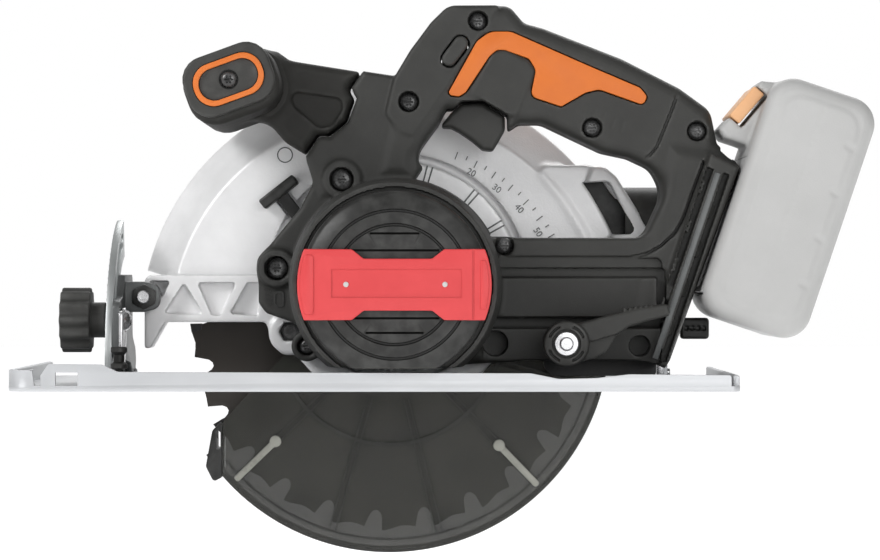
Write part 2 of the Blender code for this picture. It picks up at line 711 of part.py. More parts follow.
def make_depth_frame():
    radius = math.dist(PIVOT, DEPTH_BOLT)
    low, high = quadrant_angles()
    band = arc_slot(PIVOT, radius, 6.2, low - 3, high, 8)
    plate = slab("depth_quadrant", band, 27.5, 30.5)
    foot = guide(slab("quadrant_foot", rounded([
        (73, 4, 2), (121.8, 4, 2), (121.8, 15, 2), (92, 15, 4), (86, 24), (74, 22)], 2), 27.5, 30.5))
    slot = guide(slab("quadrant_slot", arc_slot(PIVOT, radius, 3.6, low - 0.4, high, 8), 20, 40))
    join(plate, foot)
    cut(plate, slot)
    place(plate, "depth_frame", STEEL)

    rear = rounded([(27.5, 3.6), (49, 3.6), (55, 10, 2), (51, 13, 3), (44, 15, 2), (27.5, 15)], 2)
    pin_hole = arc(BEVEL_AXIS, 2.4, 0, 330, 11)
    place(slab("rear_bracket", rear, 122.1, 125, "X", holes=[pin_hole]), "depth_frame", STEEL)

    back = rounded([(-24, 14, 3), (30, 10, 4), (40, 3.6), (49, 3.6), (55, 10, 2), (52, 16, 3), (38, 22, 4),
                    (38, 50, 3), (4, 50, 3), (-6, 40, 5), (-22, 38, 4)])
    bolt_hole = arc(KNOB_AT, 3.4, 0, 330, 11)
    bracket = slab("front_bracket", back, -120.7, -117.7, "X", holes=[bolt_hole, pin_hole])
    ear = rounded([
        (-118.5, 33.2), (-109.2, 33.2, 1), (-103, 35, 4), (-102.3, 40, 4), (-103, 45.5, 4),
        (-109.2, 46.9), (-118.5, 46.9)])
    join(bracket, guide(slab("near_ear", ear, 5, 12.4)), guide(slab("far_ear", ear, 30.6, 37)))
    cut(bracket, guide(drum("ear_bore", 4.3, -10, 60, (PIVOT[0], 0, PIVOT[1]), steps=SMALL)))
    place(bracket, "depth_frame", DARK_STEEL)

    pin = [(0, 37.5), (4, 37.5), (4, 4.7), (5.2, 4.7), (5.2, 1.5), (2.8, 1.5), (2.8, -1), (0, -1)]
    place(turned("pivot_bolt", pin, (PIVOT[0], 0, PIVOT[1]), steps=SMALL), "depth_frame", STEEL)

    shank = [(0, -113), (3.4, -113.6), (5, -117.3), (3.1, -117.3), (3.1, -141), (0, -141)]
    place(turned("bevel_bolt", shank, (0, *KNOB_AT), "X", steps=SMALL), "depth_frame", STEEL)
    knob = ring("bevel_knob", 3.5, 14.3, -144, -130.8, (0, *KNOB_AT), "X", steps=20)
    hub = guide(ring("knob_hub", 3.5, 7.8, -132, -124.4, (0, *KNOB_AT), "X", steps=20))
    join(knob, hub)
    place(knob, "bevel_knob", BLACK)


def make_base():
    outline = rounded([(BASE_FRONT, BASE_NEAR, 10), (BASE_REAR, BASE_NEAR, 4), (BASE_REAR, BASE_FAR, 10),
                       (BASE_FRONT, BASE_FAR, 10)], 4)
    slot = box_corners(-106, 25, 110, 67, 3, 2)
    plate = slab("base_plate", outline, 0, SHEET, "Z", holes=[slot])
    near_lip = guide(slab("near_lip", rounded([
        (-151.6, 0.5), (-151.6, 9.5, 2), (-150.6, 9.5, 1), (-149.5, 2), (-146.8, 2), (-146.8, 7, 1),
        (-143.5, 11.8, 2), (-121, 11.6, 4), (-114, 8.4, 4), (62, 7.8, 6), (74, 5.4, 8), (90, 5.8, 8),
        (104, 7.4, 8), (147.4, 7, 1), (147.4, 0.5)]), BASE_NEAR + INSET, BASE_NEAR + LIP_T))
    front_lip = box_corners(BASE_FRONT + INSET, 0.5, BASE_FRONT + LIP_T, 9.4, 1)
    front_lip = guide(slab("front_lip", front_lip, -57, 74))
    middle = (BASE_FRONT + 10, BASE_NEAR + 10)
    corner = arc(middle, 10 - INSET, 178, 272, 5) + arc(middle, 10.1 - LIP_T, 272, 178, 5)
    corner_lip = guide(slab("corner_lip", corner, 0.6, 9.2, "Z"))
    rear_lip = guide(slab("rear_lip", box_corners(BASE_REAR - LIP_T, 0.5, BASE_REAR - INSET, 7, 1), -62, 74))
    rear_ear = guide(slab("rear_ear", rounded([
        (41, 1), (55, 1), (54, 8, 2), (51, 11, 3), (44, 11, 3), (42, 8, 2)]), 125.4, 128, "X"))
    join(plate, near_lip, front_lip, corner_lip, rear_lip, rear_ear)
    fence = guide(slab("fence_slot", box_corners(-140.6, SHEET, -131, 8.2), -80, -50))
    pin_hole = guide(drum("rear_pin_hole", 2.4, 110, 140, (0, *BEVEL_AXIS), "X", steps=12))
    cut(plate, fence, pin_hole)
    place(plate, "base", BASE_METAL)

    inner, outer = BEVEL_SLOT_R - 10, BEVEL_SLOT_R + 7
    tilt = math.degrees(math.atan2(KNOB_AT[1] - BEVEL_AXIS[1], KNOB_AT[0] - BEVEL_AXIS[0]))
    plate_shape = arc(BEVEL_AXIS, outer, 104, 174, 9) + [(-23, SHEET + GAP), (54, SHEET + GAP)]
    plate_shape += [(54, 9), (48, 11)] + arc(BEVEL_AXIS, inner, 170, 104, 8)
    slot = arc_slot(BEVEL_AXIS, BEVEL_SLOT_R, 3.5, tilt - 46, tilt + 1, 8)
    pin_hole = arc(BEVEL_AXIS, 2.4, 0, 330, 11)
    quadrant = slab("bevel_quadrant", plate_shape, -124, -121, "X", holes=[slot, pin_hole])
    place(quadrant, "base", BASE_METAL)
    place(drum("bevel_pin_front", 2.1, -125.5, -116.5, (0, *BEVEL_AXIS), "X", steps=12), "base", STEEL)
    place(drum("bevel_pin_rear", 2.1, 121.3, 129.5, (0, *BEVEL_AXIS), "X", steps=12), "base", STEEL)

    wing = [(0, 18.5), (3.6, 18.5), (3.6, 16), (2.4, 15), (2.4, 12), (3.6, 11), (3.6, 9), (1.9, 8.5),
            (1.9, SHEET + GAP), (0, SHEET + GAP)]
    place(turned("guide_screw", wing, (-116.5, -35, 0), "Z", steps=SMALL), "guide_screw", BLACK)


def make_depth_lever():
    x, z = DEPTH_BOLT
    bolt = [(0, 34), (6, 34), (6, 31), (3.2, 31), (3.2, -44.4), (0, -44.4)]
    place(turned("depth_bolt", bolt, (x, 0, z), steps=SMALL), None, STEEL)
    boss = ring("depth_lever", 3.6, 9.8, -46, -27, (x, 0, z))
    arm = guide(slab("lever_arm", rounded([
        (x + 2, z - 9), (x + 12, z - 6.6), (x + 17.5, z - 3.4), (x + 21.5, z + 3.2),
        (x + 27, z + 7.2), (x + 34, z + 9.4), (x + 44.6, z + 13, 1), (x + 43, z + 17.2, 1),
        (x + 30, z + 14.8), (x + 22, z + 13.6), (x + 5, z + 8.6)]), -44, -30))
    join(boss, arm)
    cut(boss, guide(ring("lever_bore", 0.1, 3.6, -60, 0, (x, 0, z), steps=SMALL)))
    place(boss, "depth_lever", BLACK)


# ---------------------------------------------------------------- handle internals

def make_electrics():
    place(slab("switch_module", box_corners(38, 132, 58, 148, 2), -9, 9), None, BLACK)
    place(slab("controller_board", box_corners(64, 40, 112, 42), -10, 10), None, BOARD)
    block = [rail(-38, -8.8), rail(-38, -3.8), rail(-22, -3.8), rail(-22, -8.8)]
    terminals = slab("terminal_block", block, -9, 9)
    for k, y in enumerate((-6, 0, 6)):
        tab = [rail(-23, -7), rail(-23, -5), rail(-8, -5), rail(-8, -7)]
        join(terminals, guide(slab(f"terminal_{k}", tab, y - 1.5, y + 1.5)))
    place(terminals, None, BLACK)
    key = slab("hex_key", box_corners(110, 23.8, 144.5, 28.2), 12, 16)
    grip = guide(slab("key_grip", box_corners(131.5, 21, 144.5, 30.6, 1), 11, 17))
    join(key, grip)
    place(key, "hex_key", DARK_STEEL)


def make_battery():
    case = box_corners(-16, GAP + 0.7, 94, 50, 10, 4)
    shell = slab("battery_case", [rail(u, v) for u, v in case], -38, 38)
    head = [(60, 2), (60, -10), (63, -13.4), (67, -11.6), (89, -2.8), (92, 8)]
    join(shell, guide(slab("battery_head", [rail(u, v) for u, v in head], -20, 20)))
    inside = box_corners(-13, 6.5, 91, 47, 8, 2)
    hollow = guide(slab("battery_inside", [rail(u, v) for u, v in inside], -35.5, 35.5))
    door = guide(slab("battery_door", [rail(u, v) for u, v in box_corners(-8, -3, 55, 10)], -30, 30))
    button_room = guide(slab("button_room", release_outline(0.35, 7), -12.4, 12.4))
    cut(shell, hollow, door, button_room)
    place(shell, "battery", PALE)

    plate = slab("battery_rail_plate", [rail(u, v) for u, v in box_corners(-7.7, 1.2, 54.7, 4)], -29.7, 29.7)
    neck = guide(slab("tongue_neck", [rail(u, v) for u, v in box_corners(-5, -5, 49, 2)], -9.6, 9.6))
    tongue = guide(slab("tongue", [rail(u, v) for u, v in box_corners(-5, -9, 49, -3.6)], -14.6, 14.6))
    join(plate, neck, tongue)
    place(plate, "battery", PALE)

    pack = slab("battery_cells", [rail(u, v) for u, v in box_corners(-8, 9, 86, 44, 4)], -34, -31)
    holder = guide(slab("cell_holder", [rail(u, v) for u, v in box_corners(-8, 9, 86, 44, 4)], 31, 34))
    join(pack, holder)
    for row, v in enumerate((17, 36)):
        for place_in_row in range(5):
            x, z = rail(1 + 19.0 * place_in_row, v)
            join(pack, guide(drum(f"cell_{row}_{place_in_row}", 9, -32.5, 32.5, (x, 0, z), steps=10)))
    place(pack, "battery", CELL)
    place(slab("battery_release", release_outline(0, 3.2), -12, 12), "release", ORANGE)


def release_outline(grow, depth):
    """A flat button set in the sloping face of the battery's head."""
    along = Vector((22, 8.8)).normalized()
    inward = Vector((-along.y, along.x))
    start = Vector((67, -11.6)) + along * (3 - grow)
    end = Vector((67, -11.6)) + along * (20 + grow)
    proud = -0.8 * inward
    corners = [start + proud, end + proud, end + inward * depth, start + inward * depth]
    return [rail(*corner) for corner in corners]


make_housing()
make_grip_trim()
make_front_handle()
make_motor()
make_casting()
make_spindle_lock()
make_blade_set()
make_lower_guard()
make_guard_spring()
make_depth_frame()
make_base()
make_depth_lever()
make_electrics()
make_battery()
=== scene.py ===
"""The finished look of a cordless circular saw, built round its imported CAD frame.

Lengths are in millimetres until a mesh is made. +X runs from the nose to the
battery, +Z is up, +Y is the blade side, and the origin is on the sole under the
arbor. Moulded and cast pieces are described as distances on a grid and skinned;
turned, sawn and bent pieces are made from outlines and profiles.
"""
import json
import math

import bmesh
import bpy
import numpy as np
from mathutils import Matrix, Vector


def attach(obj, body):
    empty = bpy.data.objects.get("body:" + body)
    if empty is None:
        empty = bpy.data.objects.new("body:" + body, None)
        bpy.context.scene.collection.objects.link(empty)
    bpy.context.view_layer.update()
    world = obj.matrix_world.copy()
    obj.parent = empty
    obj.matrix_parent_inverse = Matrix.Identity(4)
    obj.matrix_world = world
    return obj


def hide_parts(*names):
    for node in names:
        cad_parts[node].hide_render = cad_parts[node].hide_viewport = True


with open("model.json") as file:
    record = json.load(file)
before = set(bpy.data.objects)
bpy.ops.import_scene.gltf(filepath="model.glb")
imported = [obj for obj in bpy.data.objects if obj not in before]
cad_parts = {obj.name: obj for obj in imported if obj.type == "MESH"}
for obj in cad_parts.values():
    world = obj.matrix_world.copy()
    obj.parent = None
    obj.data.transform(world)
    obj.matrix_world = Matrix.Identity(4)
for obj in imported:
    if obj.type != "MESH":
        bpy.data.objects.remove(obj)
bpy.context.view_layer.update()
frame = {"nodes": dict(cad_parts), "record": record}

MM = 0.001
MERGE = 0.000002               # metres; vertices closer than this are one
# x and z of axes across the saw
ARBOR = (0.0, 24.0)
MOTOR = (4.0, 45.63)
PIVOT = (-109.2, 40.0)
DEPTH_BOLT = (78.0, 20.0)
CAP_AT = (-67.8, 134.0)
RAIL_ORIGIN = (138.9, 50.2)    # corner of the battery rail
# y and z of axes along the saw
KNOB_AT = (-12.0, 29.9)
BEVEL_AXIS = (48.0, 5.0)
BEVEL_SLOT_R = 65.0
RAIL_TILT = math.radians(18.7)
BAR_TILT = 20.0                # degrees the front handle's section leans
FACE = -18.0                   # near face of the housing
BLADE_R = 92.0
TEETH = 24
FIRST_TOOTH = -17.0            # degrees round from +X
FLOOR = -176.0                 # clear of the base when it is tilted and dropped


# ---------------------------------------------------------------- outlines

def arc(centre, radius, start, end, steps=24):
    points = []
    for k in range(steps + 1):
        angle = math.radians(start + (end - start) * k / steps)
        points.append((centre[0] + radius * math.cos(angle), centre[1] + radius * math.sin(angle)))
    return points


def circle(centre, radius, steps=48):
    return arc(centre, radius, 0, 360, steps)[:-1]


def rounded(corners, steps=6):
    """An outline from (u, v) corners; a third value rounds the corner."""
    points = []
    for i, corner in enumerate(corners):
        here = Vector(corner[:2])
        if len(corner) == 2:
            points.append(tuple(here))
            continue
        radius = corner[2]
        before = (Vector(corners[i - 1][:2]) - here).normalized()
        after = (Vector(corners[(i + 1) % len(corners)][:2]) - here).normalized()
        half = before.angle(after) / 2
        centre = here + (before + after).normalized() * (radius / math.sin(half))
        first = here + before * (radius / math.tan(half)) - centre
        last = here + after * (radius / math.tan(half)) - centre
        for k in range(steps + 1):
            points.append(tuple(centre + first.lerp(last, k / steps).normalized() * radius))
    return points


def box_corners(u0, v0, u1, v1, radius=0.0, steps=6):
    corners = [(u0, v0), (u1, v0), (u1, v1), (u0, v1)]
    if radius:
        corners = rounded([(u, v, radius) for u, v in corners], steps)
    return corners


def spun(points, degrees):
    turn = Matrix.Rotation(math.radians(degrees), 2)
    return [tuple(turn @ Vector(p)) for p in points]


def shifted(points, by):
    return [(u + by[0], v + by[1]) for u, v in points]


def strip(p, q, half):
    """A straight bar's outline from p to q."""
    p, q = Vector(p), Vector(q)
    along = (q - p).normalized()
    side = Vector((-along.y, along.x)) * half
    return [tuple(p + side), tuple(p - side), tuple(q - side), tuple(q + side)]


def ray(centre, angle, inner, outer, half):
    """A radial bar's outline."""
    way = Vector((math.cos(math.radians(angle)), math.sin(math.radians(angle))))
    return strip(Vector(centre) + way * inner, Vector(centre) + way * outer, half)


def crosswise(point):
    """A place in the plane Y = 0, from its x and z."""
    return point[0], 0, point[1]


def rail(u, v):
    """x and z of a point given along the battery rail (u up, v rearward)."""
    x = RAIL_ORIGIN[0] + u * math.sin(RAIL_TILT) + v * math.cos(RAIL_TILT)
    z = RAIL_ORIGIN[1] + u * math.cos(RAIL_TILT) - v * math.sin(RAIL_TILT)
    return x, z


def on_rail(points):
    return [rail(u, v) for u, v in points]


# ---------------------------------------------------------------- solids on a grid

def outline_distance(points, u, v):
    """Distance to a closed outline, negative inside it."""
    shape = np.broadcast_shapes(u.shape, v.shape)
    best = np.full(shape, 1e6, np.float32)
    inside = np.zeros(shape, bool)
    for (u0, v0), (u1, v1) in zip(points, list(points[1:]) + [points[0]]):
        du, dv = u1 - u0, v1 - v0
        length = du * du + dv * dv
        if length < 1e-9:
            continue
        t = np.clip(((u - u0) * du + (v - v0) * dv) / length, 0, 1)
        best = np.minimum(best, (u - u0 - t * du) ** 2 + (v - v0 - t * dv) ** 2)
        if v0 != v1:
            inside ^= ((v0 > v) != (v1 > v)) & (u < u0 + (v - v0) * du / dv)
    best = np.sqrt(best)
    return np.where(inside, -best, best)


def plate(outline, low, high, edge=0.0, facing="Y", grow=0.0):
    """A flat-sided shape, its rims rounded to the radius edge."""
    order = {"Y": (0, 2, 1), "X": (1, 2, 0), "Z": (0, 1, 2)}[facing]
    us, vs = zip(*outline)
    middle, half = (low + high) / 2, (high - low) / 2
    least, most = [0.0] * 3, [0.0] * 3
    for axis, (a, b) in zip(order, ((min(us), max(us)), (min(vs), max(vs)), (low, high))):
        least[axis], most[axis] = a, b

    def distance(*grid):
        flat = outline_distance(outline, grid[order[0]], grid[order[1]]) + edge - grow
        thick = np.abs(grid[order[2]] - middle) - half + edge
        outside = np.hypot(np.maximum(flat, 0), np.maximum(thick, 0))
        return np.minimum(np.maximum(flat, thick), 0) + outside - edge
    return least, most, distance


def lathe(profile, centre):
    """A shape turned about a Y axis, from (r, y) points."""
    reach = max(r for r, _ in profile)
    ys = [y for _, y in profile]
    closed = [(r if r > 0 else -20.0, y) for r, y in profile]
    fine = 0.25

    def distance(x, y, z):
        r = np.hypot(x - centre[0], z - centre[1])[:, 0, :] / fine
        at = r.astype(np.int32)
        line = fine * np.arange(at.max() + 2, dtype=np.float32)
        table = outline_distance(closed, line[:, None], y[0, :, 0][None, :])
        part = (r - at)[..., None]
        both = table[at] * (1 - part) + table[at + 1] * part
        return both.transpose(0, 2, 1)
    least = (centre[0] - reach, min(ys), centre[1] - reach)
    most = (centre[0] + reach, max(ys), centre[1] + reach)
    return least, most, distance


def common(a, b):
    """What two shapes share."""
    least = [max(p) for p in zip(a[0], b[0])]
    most = [min(p) for p in zip(a[1], b[1])]
    return least, most, lambda *grid: np.maximum(a[2](*grid), b[2](*grid))


def soft_min(a, b, blend):
    if not blend:
        return np.minimum(a, b)
    near = np.maximum(blend - np.abs(a - b), 0) / blend
    return np.minimum(a, b) - near * near * blend / 4


class Block:
    """A block of space that shapes are added to and carved from."""

    def __init__(self, low, high, cell):
        self.low = np.array(low, float)
        self.cell = cell
        counts = [round((b - a) / cell) + 1 for a, b in zip(low, high)]
        self.solid = np.full(counts, 50.0, np.float32)

    def near(self, shape, margin):
        """The grid nodes round a shape, and their distances to it."""
        cuts, grid = [], []
        for axis in range(3):
            count = self.solid.shape[axis]
            first = math.floor((shape[0][axis] - margin - self.low[axis]) / self.cell)
            last = math.ceil((shape[1][axis] + margin - self.low[axis]) / self.cell) + 1
            first, last = min(max(first, 0), count - 1), min(max(last, 1), count)
            cuts.append(slice(first, last))
            line = self.low[axis] + self.cell * np.arange(first, last)
            grid.append(line.astype(np.float32).reshape([-1 if k == axis else 1 for k in range(3)]))
        return tuple(cuts), shape[2](*grid)

    def add(self, shape, blend=0.0):
        cuts, distance = self.near(shape, blend + 3 * self.cell)
        self.solid[cuts] = soft_min(self.solid[cuts], distance, blend)

    def carve(self, shape, blend=0.0):
        cuts, distance = self.near(shape, blend + 3 * self.cell)
        self.solid[cuts] = -soft_min(-self.solid[cuts], distance, blend)

    def part(self, low_y, high_y):
        """A copy of the slice between two planes across Y."""
        y = self.low[1] + self.cell * np.arange(self.solid.shape[1])
        other = Block.__new__(Block)
        other.low, other.cell = self.low, self.cell
        planes = np.maximum(low_y - y, y - high_y).astype(np.float32)[None, :, None]
        other.solid = np.maximum(self.solid, planes)
        return other

    def skin(self, name, keep=1.0):
        """A mesh object: a vertex in each crossed cell, a face for each crossed edge."""
        solid = self.solid
        solid[[0, -1]] = solid[:, [0, -1]] = solid[:, :, [0, -1]] = 5.0
        inside = solid < 0
        size = [n - 1 for n in solid.shape]
        corners = [(i, j, k) for i in (0, 1) for j in (0, 1) for k in (0, 1)]
        count = np.zeros(size, np.int8)
        for i, j, k in corners:
            count += inside[i:i + size[0], j:j + size[1], k:k + size[2]]
        cells = np.argwhere((count > 0) & (count < 8))
        ids = np.full(size, -1, np.int32)
        ids[tuple(cells.T)] = np.arange(len(cells))
        values = [solid[cells[:, 0] + i, cells[:, 1] + j, cells[:, 2] + k] for i, j, k in corners]
        total = np.zeros((len(cells), 3))
        hits = np.zeros(len(cells))
        for a in range(8):
            for b in range(a + 1, 8):
                way = np.subtract(corners[b], corners[a])
                if np.abs(way).sum() != 1:
                    continue
                crossed = (values[a] < 0) != (values[b] < 0)
                share = values[a] / np.where(crossed, values[a] - values[b], 1)
                total += np.where(crossed[:, None], corners[a] + share[:, None] * way, 0)
                hits += crossed
        points = (cells + total / hits[:, None]) * self.cell + self.low
        faces = []
        for axis in range(3):
            start, end = [slice(1, -1)] * 3, [slice(1, -1)] * 3
            start[axis], end[axis] = slice(0, -1), slice(1, None)
            first, last = inside[tuple(start)], inside[tuple(end)]
            shift = np.ones(3, int)
            shift[axis] = 0
            u, v = (axis + 1) % 3, (axis + 2) % 3
            for here, loop in ((first & ~last, ((1, 1), (0, 1), (0, 0), (1, 0))),
                               (last & ~first, ((1, 0), (0, 0), (0, 1), (1, 1)))):
                at = np.argwhere(here) + shift
                ring = []
                for back_u, back_v in loop:
                    step = at.copy()
                    step[:, u] -= back_u
                    step[:, v] -= back_v
                    ring.append(ids[tuple(step.T)])
                faces.append(np.stack(ring, 1))
        mesh = bpy.data.meshes.new(name)
        mesh.from_pydata(points * MM, [], np.concatenate(faces))
        mesh.validate()
        made = new_object(name, mesh)
        if keep < 1:
            fewer = made.modifiers.new("fewer", "DECIMATE")
            fewer.ratio = keep
            settle(made)
        return smooth(made, 40)


# ---------------------------------------------------------------- meshes

def new_object(name, mesh):
    made = bpy.data.objects.new(name, mesh)
    bpy.context.scene.collection.objects.link(made)
    return made


def baked(obj):
    """The mesh an object's curve or modifiers make."""
    depth = bpy.context.evaluated_depsgraph_get()
    return bpy.data.meshes.new_from_object(obj.evaluated_get(depth))


def meshed(name, shape):
    """A bmesh as a mesh; the bmesh is freed."""
    mesh = bpy.data.meshes.new(name)
    shape.to_mesh(mesh)
    shape.free()
    return mesh


def settle(obj):
    """Apply an object's modifiers and its place."""
    mesh = baked(obj)
    mesh.transform(obj.matrix_world)
    obj.modifiers.clear()
    obj.data = mesh
    obj.matrix_world = Matrix.Identity(4)
    return obj


def smooth(obj, angle=35):
    obj.data.shade_smooth()
    obj.data.set_sharp_from_angle(angle=math.radians(angle))
    return obj


def soften(obj, width, segments=2, angle=35):
    """Round an object's edges."""
    step = obj.modifiers.new("edges", "BEVEL")
    step.width = width * MM
    step.segments = segments
    step.limit_method = "ANGLE"
    step.angle_limit = math.radians(angle)
    step.harden_normals = False
    settle(obj)
    return smooth(obj)


FACING = {
    "X": Matrix(((0, 0, 1), (1, 0, 0), (0, 1, 0))),
    "Y": Matrix(((1, 0, 0), (0, 0, -1), (0, 1, 0))),
    "Z": Matrix.Identity(3),
}


def slab(name, outline, low, high, facing="Y", holes=(), edge=0.0, segments=2):
    """A flat piece: an outline filled, extruded between two planes, its rims rounded."""
    curve = bpy.data.curves.new(name, "CURVE")
    curve.dimensions = "2D"
    curve.fill_mode = "BOTH"
    curve.extrude = (high - low) / 2 * MM
    for loop in (outline, *holes):
        spline = curve.splines.new("POLY")
        spline.points.add(len(loop) - 1)
        for point, (u, v) in zip(spline.points, loop):
            point.co = (u * MM, v * MM, 0, 1)
        spline.use_cyclic_u = True
    flat = new_object(name + "_flat", curve)
    mesh = baked(flat)
    bpy.data.objects.remove(flat)
    bpy.data.curves.remove(curve)
    shape = bmesh.new()
    shape.from_mesh(mesh)
    bmesh.ops.remove_doubles(shape, verts=shape.verts, dist=MERGE)
    bmesh.ops.dissolve_limit(shape, angle_limit=0.01, verts=shape.verts, edges=shape.edges)
    bmesh.ops.recalc_face_normals(shape, faces=shape.faces)
    shape.to_mesh(mesh)
    shape.free()
    mesh.transform(FACING[facing].to_4x4())
    made = new_object(name, mesh)
    made.location["XYZ".index(facing)] = (low + high) / 2 * MM
    bpy.context.view_layer.update()
    settle(made)
    if edge:
        soften(made, edge, segments)
    return smooth(made)


def turned(name, profile, at, axis="Y", steps=64, closed=False):
    """A turned piece. The profile runs down its outer side, as (r, h)."""
    shape = bmesh.new()
    verts = [shape.verts.new((r * MM, 0, h * MM)) for r, h in profile]
    for first, second in zip(verts, verts[1:]):
        shape.edges.new((first, second))
    if closed:
        shape.edges.new((verts[-1], verts[0]))
    made = new_object(name, meshed(name, shape))
    screw = made.modifiers.new("turn", "SCREW")
    screw.steps = steps
    screw.render_steps = steps
    screw.use_merge_vertices = True
    screw.merge_threshold = MERGE
    made.location = Vector(at) * MM
    if axis == "Y":
        made.rotation_euler = (-math.pi / 2, 0, 0)
    if axis == "X":
        made.rotation_euler = (0, math.pi / 2, 0)
    bpy.context.view_layer.update()
    settle(made)
    return smooth(made, 30)


def drum(name, radius, low, high, at, axis="Y", steps=64, edge=0.4):
    profile = [(0, high), (radius - edge, high), (radius, high - edge), (radius, low + edge),
               (radius - edge, low), (0, low)]
    return turned(name, profile, at, axis, steps)


def ring(name, inner, outer, low, high, at, axis="Y", steps=64, edge=0.3):
    profile = [(inner + edge, high), (outer - edge, high), (outer, high - edge), (outer, low + edge),
               (outer - edge, low), (inner + edge, low), (inner, low + edge), (inner, high - edge)]
    return turned(name, profile, at, axis, steps, closed=True)


def combine(target, operation, *tools):
    """Cut tools from a mesh, or join them to it."""
    for tool in tools:
        step = target.modifiers.new("shape", "BOOLEAN")
        step.operation = operation
        step.solver = "MANIFOLD"
        step.object = tool
        settle(target)
        bpy.data.objects.remove(tool)
    return smooth(target)


def gather(name, objects):
    """Several meshes as one object."""
    shape = bmesh.new()
    for obj in objects:
        shape.from_mesh(obj.data)
    mesh = meshed(name, shape)
    for obj in objects:
        bpy.data.objects.remove(obj)
    return smooth(new_object(name, mesh))


# ---------------------------------------------------------------- finishes

def node(tree, kind, values=None, **settings):
    made = tree.nodes.new(kind)
    for key, value in settings.items():
        setattr(made, key, value)
    for key, value in (values or {}).items():
        made.inputs[key].default_value = value
    return made


def ramp(tree, source, stops):
    """A colour ramp over a value; stops are (place, colour or number)."""
    made = node(tree, "ShaderNodeValToRGB")
    band = made.color_ramp
    for k, (place, value) in enumerate(stops):
        stop = band.elements[k] if k < 2 else band.elements.new(place)
        stop.position = place
        tone = value if isinstance(value, tuple) else (value, value, value)
        stop.color = (*tone, 1)
    tree.links.new(source, made.inputs["Fac"])
    return made.outputs["Color"]


def finish(slot, dark, light, rough, metallic=0.0, grain=2200, relief=0.25, mottle=60, edge_tone=None,
           stretch=(1, 1, 1), rings=None, alpha=1.0, specular=0.5):
    """A material: mottled colour, uneven gloss, a fine relief, and lighter edges if asked: wear on the
    plastics and screws, painted edge highlights on the casting.

    stretch draws the grain out along an axis; rings turns it round an axis at that x and z.
    """
    made = bpy.data.materials.new(slot)
    made.use_nodes = True
    tree = made.node_tree
    shader = tree.nodes["Principled BSDF"]
    link = tree.links.new
    place = node(tree, "ShaderNodeTexCoord").outputs["Object"]
    if rings:
        parts = node(tree, "ShaderNodeSeparateXYZ")
        link(place, parts.inputs[0])
        across = [node(tree, "ShaderNodeMath", {1: centre * MM}, operation="SUBTRACT") for centre in rings]
        link(parts.outputs["X"], across[0].inputs[0])
        link(parts.outputs["Z"], across[1].inputs[0])
        flat = node(tree, "ShaderNodeCombineXYZ")
        link(across[0].outputs[0], flat.inputs[0])
        link(across[1].outputs[0], flat.inputs[1])
        radius = node(tree, "ShaderNodeVectorMath", operation="LENGTH")
        link(flat.outputs[0], radius.inputs[0])
        spread = node(tree, "ShaderNodeCombineXYZ")
        link(radius.outputs["Value"], spread.inputs[0])
        fine_place = spread.outputs[0]
    else:
        scaled = node(tree, "ShaderNodeMapping", {"Scale": stretch})
        link(place, scaled.inputs["Vector"])
        fine_place = scaled.outputs["Vector"]

    broad = node(tree, "ShaderNodeTexNoise", {"Scale": mottle, "Detail": 4, "Roughness": 0.6})
    link(place, broad.inputs["Vector"])
    colour = ramp(tree, broad.outputs["Fac"], [(0.3, dark), (0.7, light)])
    # edges lightened by pointiness: wear on the plastics and screws, painted highlights on the casting
    if edge_tone:
        raised = node(tree, "ShaderNodeNewGeometry").outputs["Pointiness"]
        edge = ramp(tree, raised, [(0.505, 0.0), (0.56, 1.0)])
        edge_noise = node(tree, "ShaderNodeTexNoise", {"Scale": 140, "Detail": 3})
        link(place, edge_noise.inputs["Vector"])
        patch = ramp(tree, edge_noise.outputs["Fac"], [(0.4, 0.15), (0.65, 0.8)])
        amount = node(tree, "ShaderNodeMath", operation="MULTIPLY")
        link(edge, amount.inputs[0])
        link(patch, amount.inputs[1])
        mix = node(tree, "ShaderNodeMix", data_type="RGBA")
        link(amount.outputs[0], mix.inputs["Factor"])
        link(colour, mix.inputs["A"])
        mix.inputs["B"].default_value = (*edge_tone, 1)
        colour = mix.outputs["Result"]
    link(colour, shader.inputs["Base Color"])

    fine = node(tree, "ShaderNodeTexNoise", {"Scale": grain, "Detail": 3, "Roughness": 0.55})
    link(fine_place, fine.inputs["Vector"])
    gloss = node(tree, "ShaderNodeMath", operation="ADD")
    link(ramp(tree, fine.outputs["Fac"], [(0.3, max(rough - 0.07, 0.02)), (0.7, rough)]), gloss.inputs[0])
    link(ramp(tree, broad.outputs["Fac"], [(0.35, 0.0), (0.7, 0.08)]), gloss.inputs[1])
    link(gloss.outputs[0], shader.inputs["Roughness"])
    bump = node(tree, "ShaderNodeBump", {"Strength": relief, "Distance": 0.0002})
    link(fine.outputs["Fac"], bump.inputs["Height"])
    link(bump.outputs["Normal"], shader.inputs["Normal"])
    shader.inputs["Metallic"].default_value = metallic
    shader.inputs["Specular IOR Level"].default_value = specular
    shader.inputs["Alpha"].default_value = alpha
    return made, slot


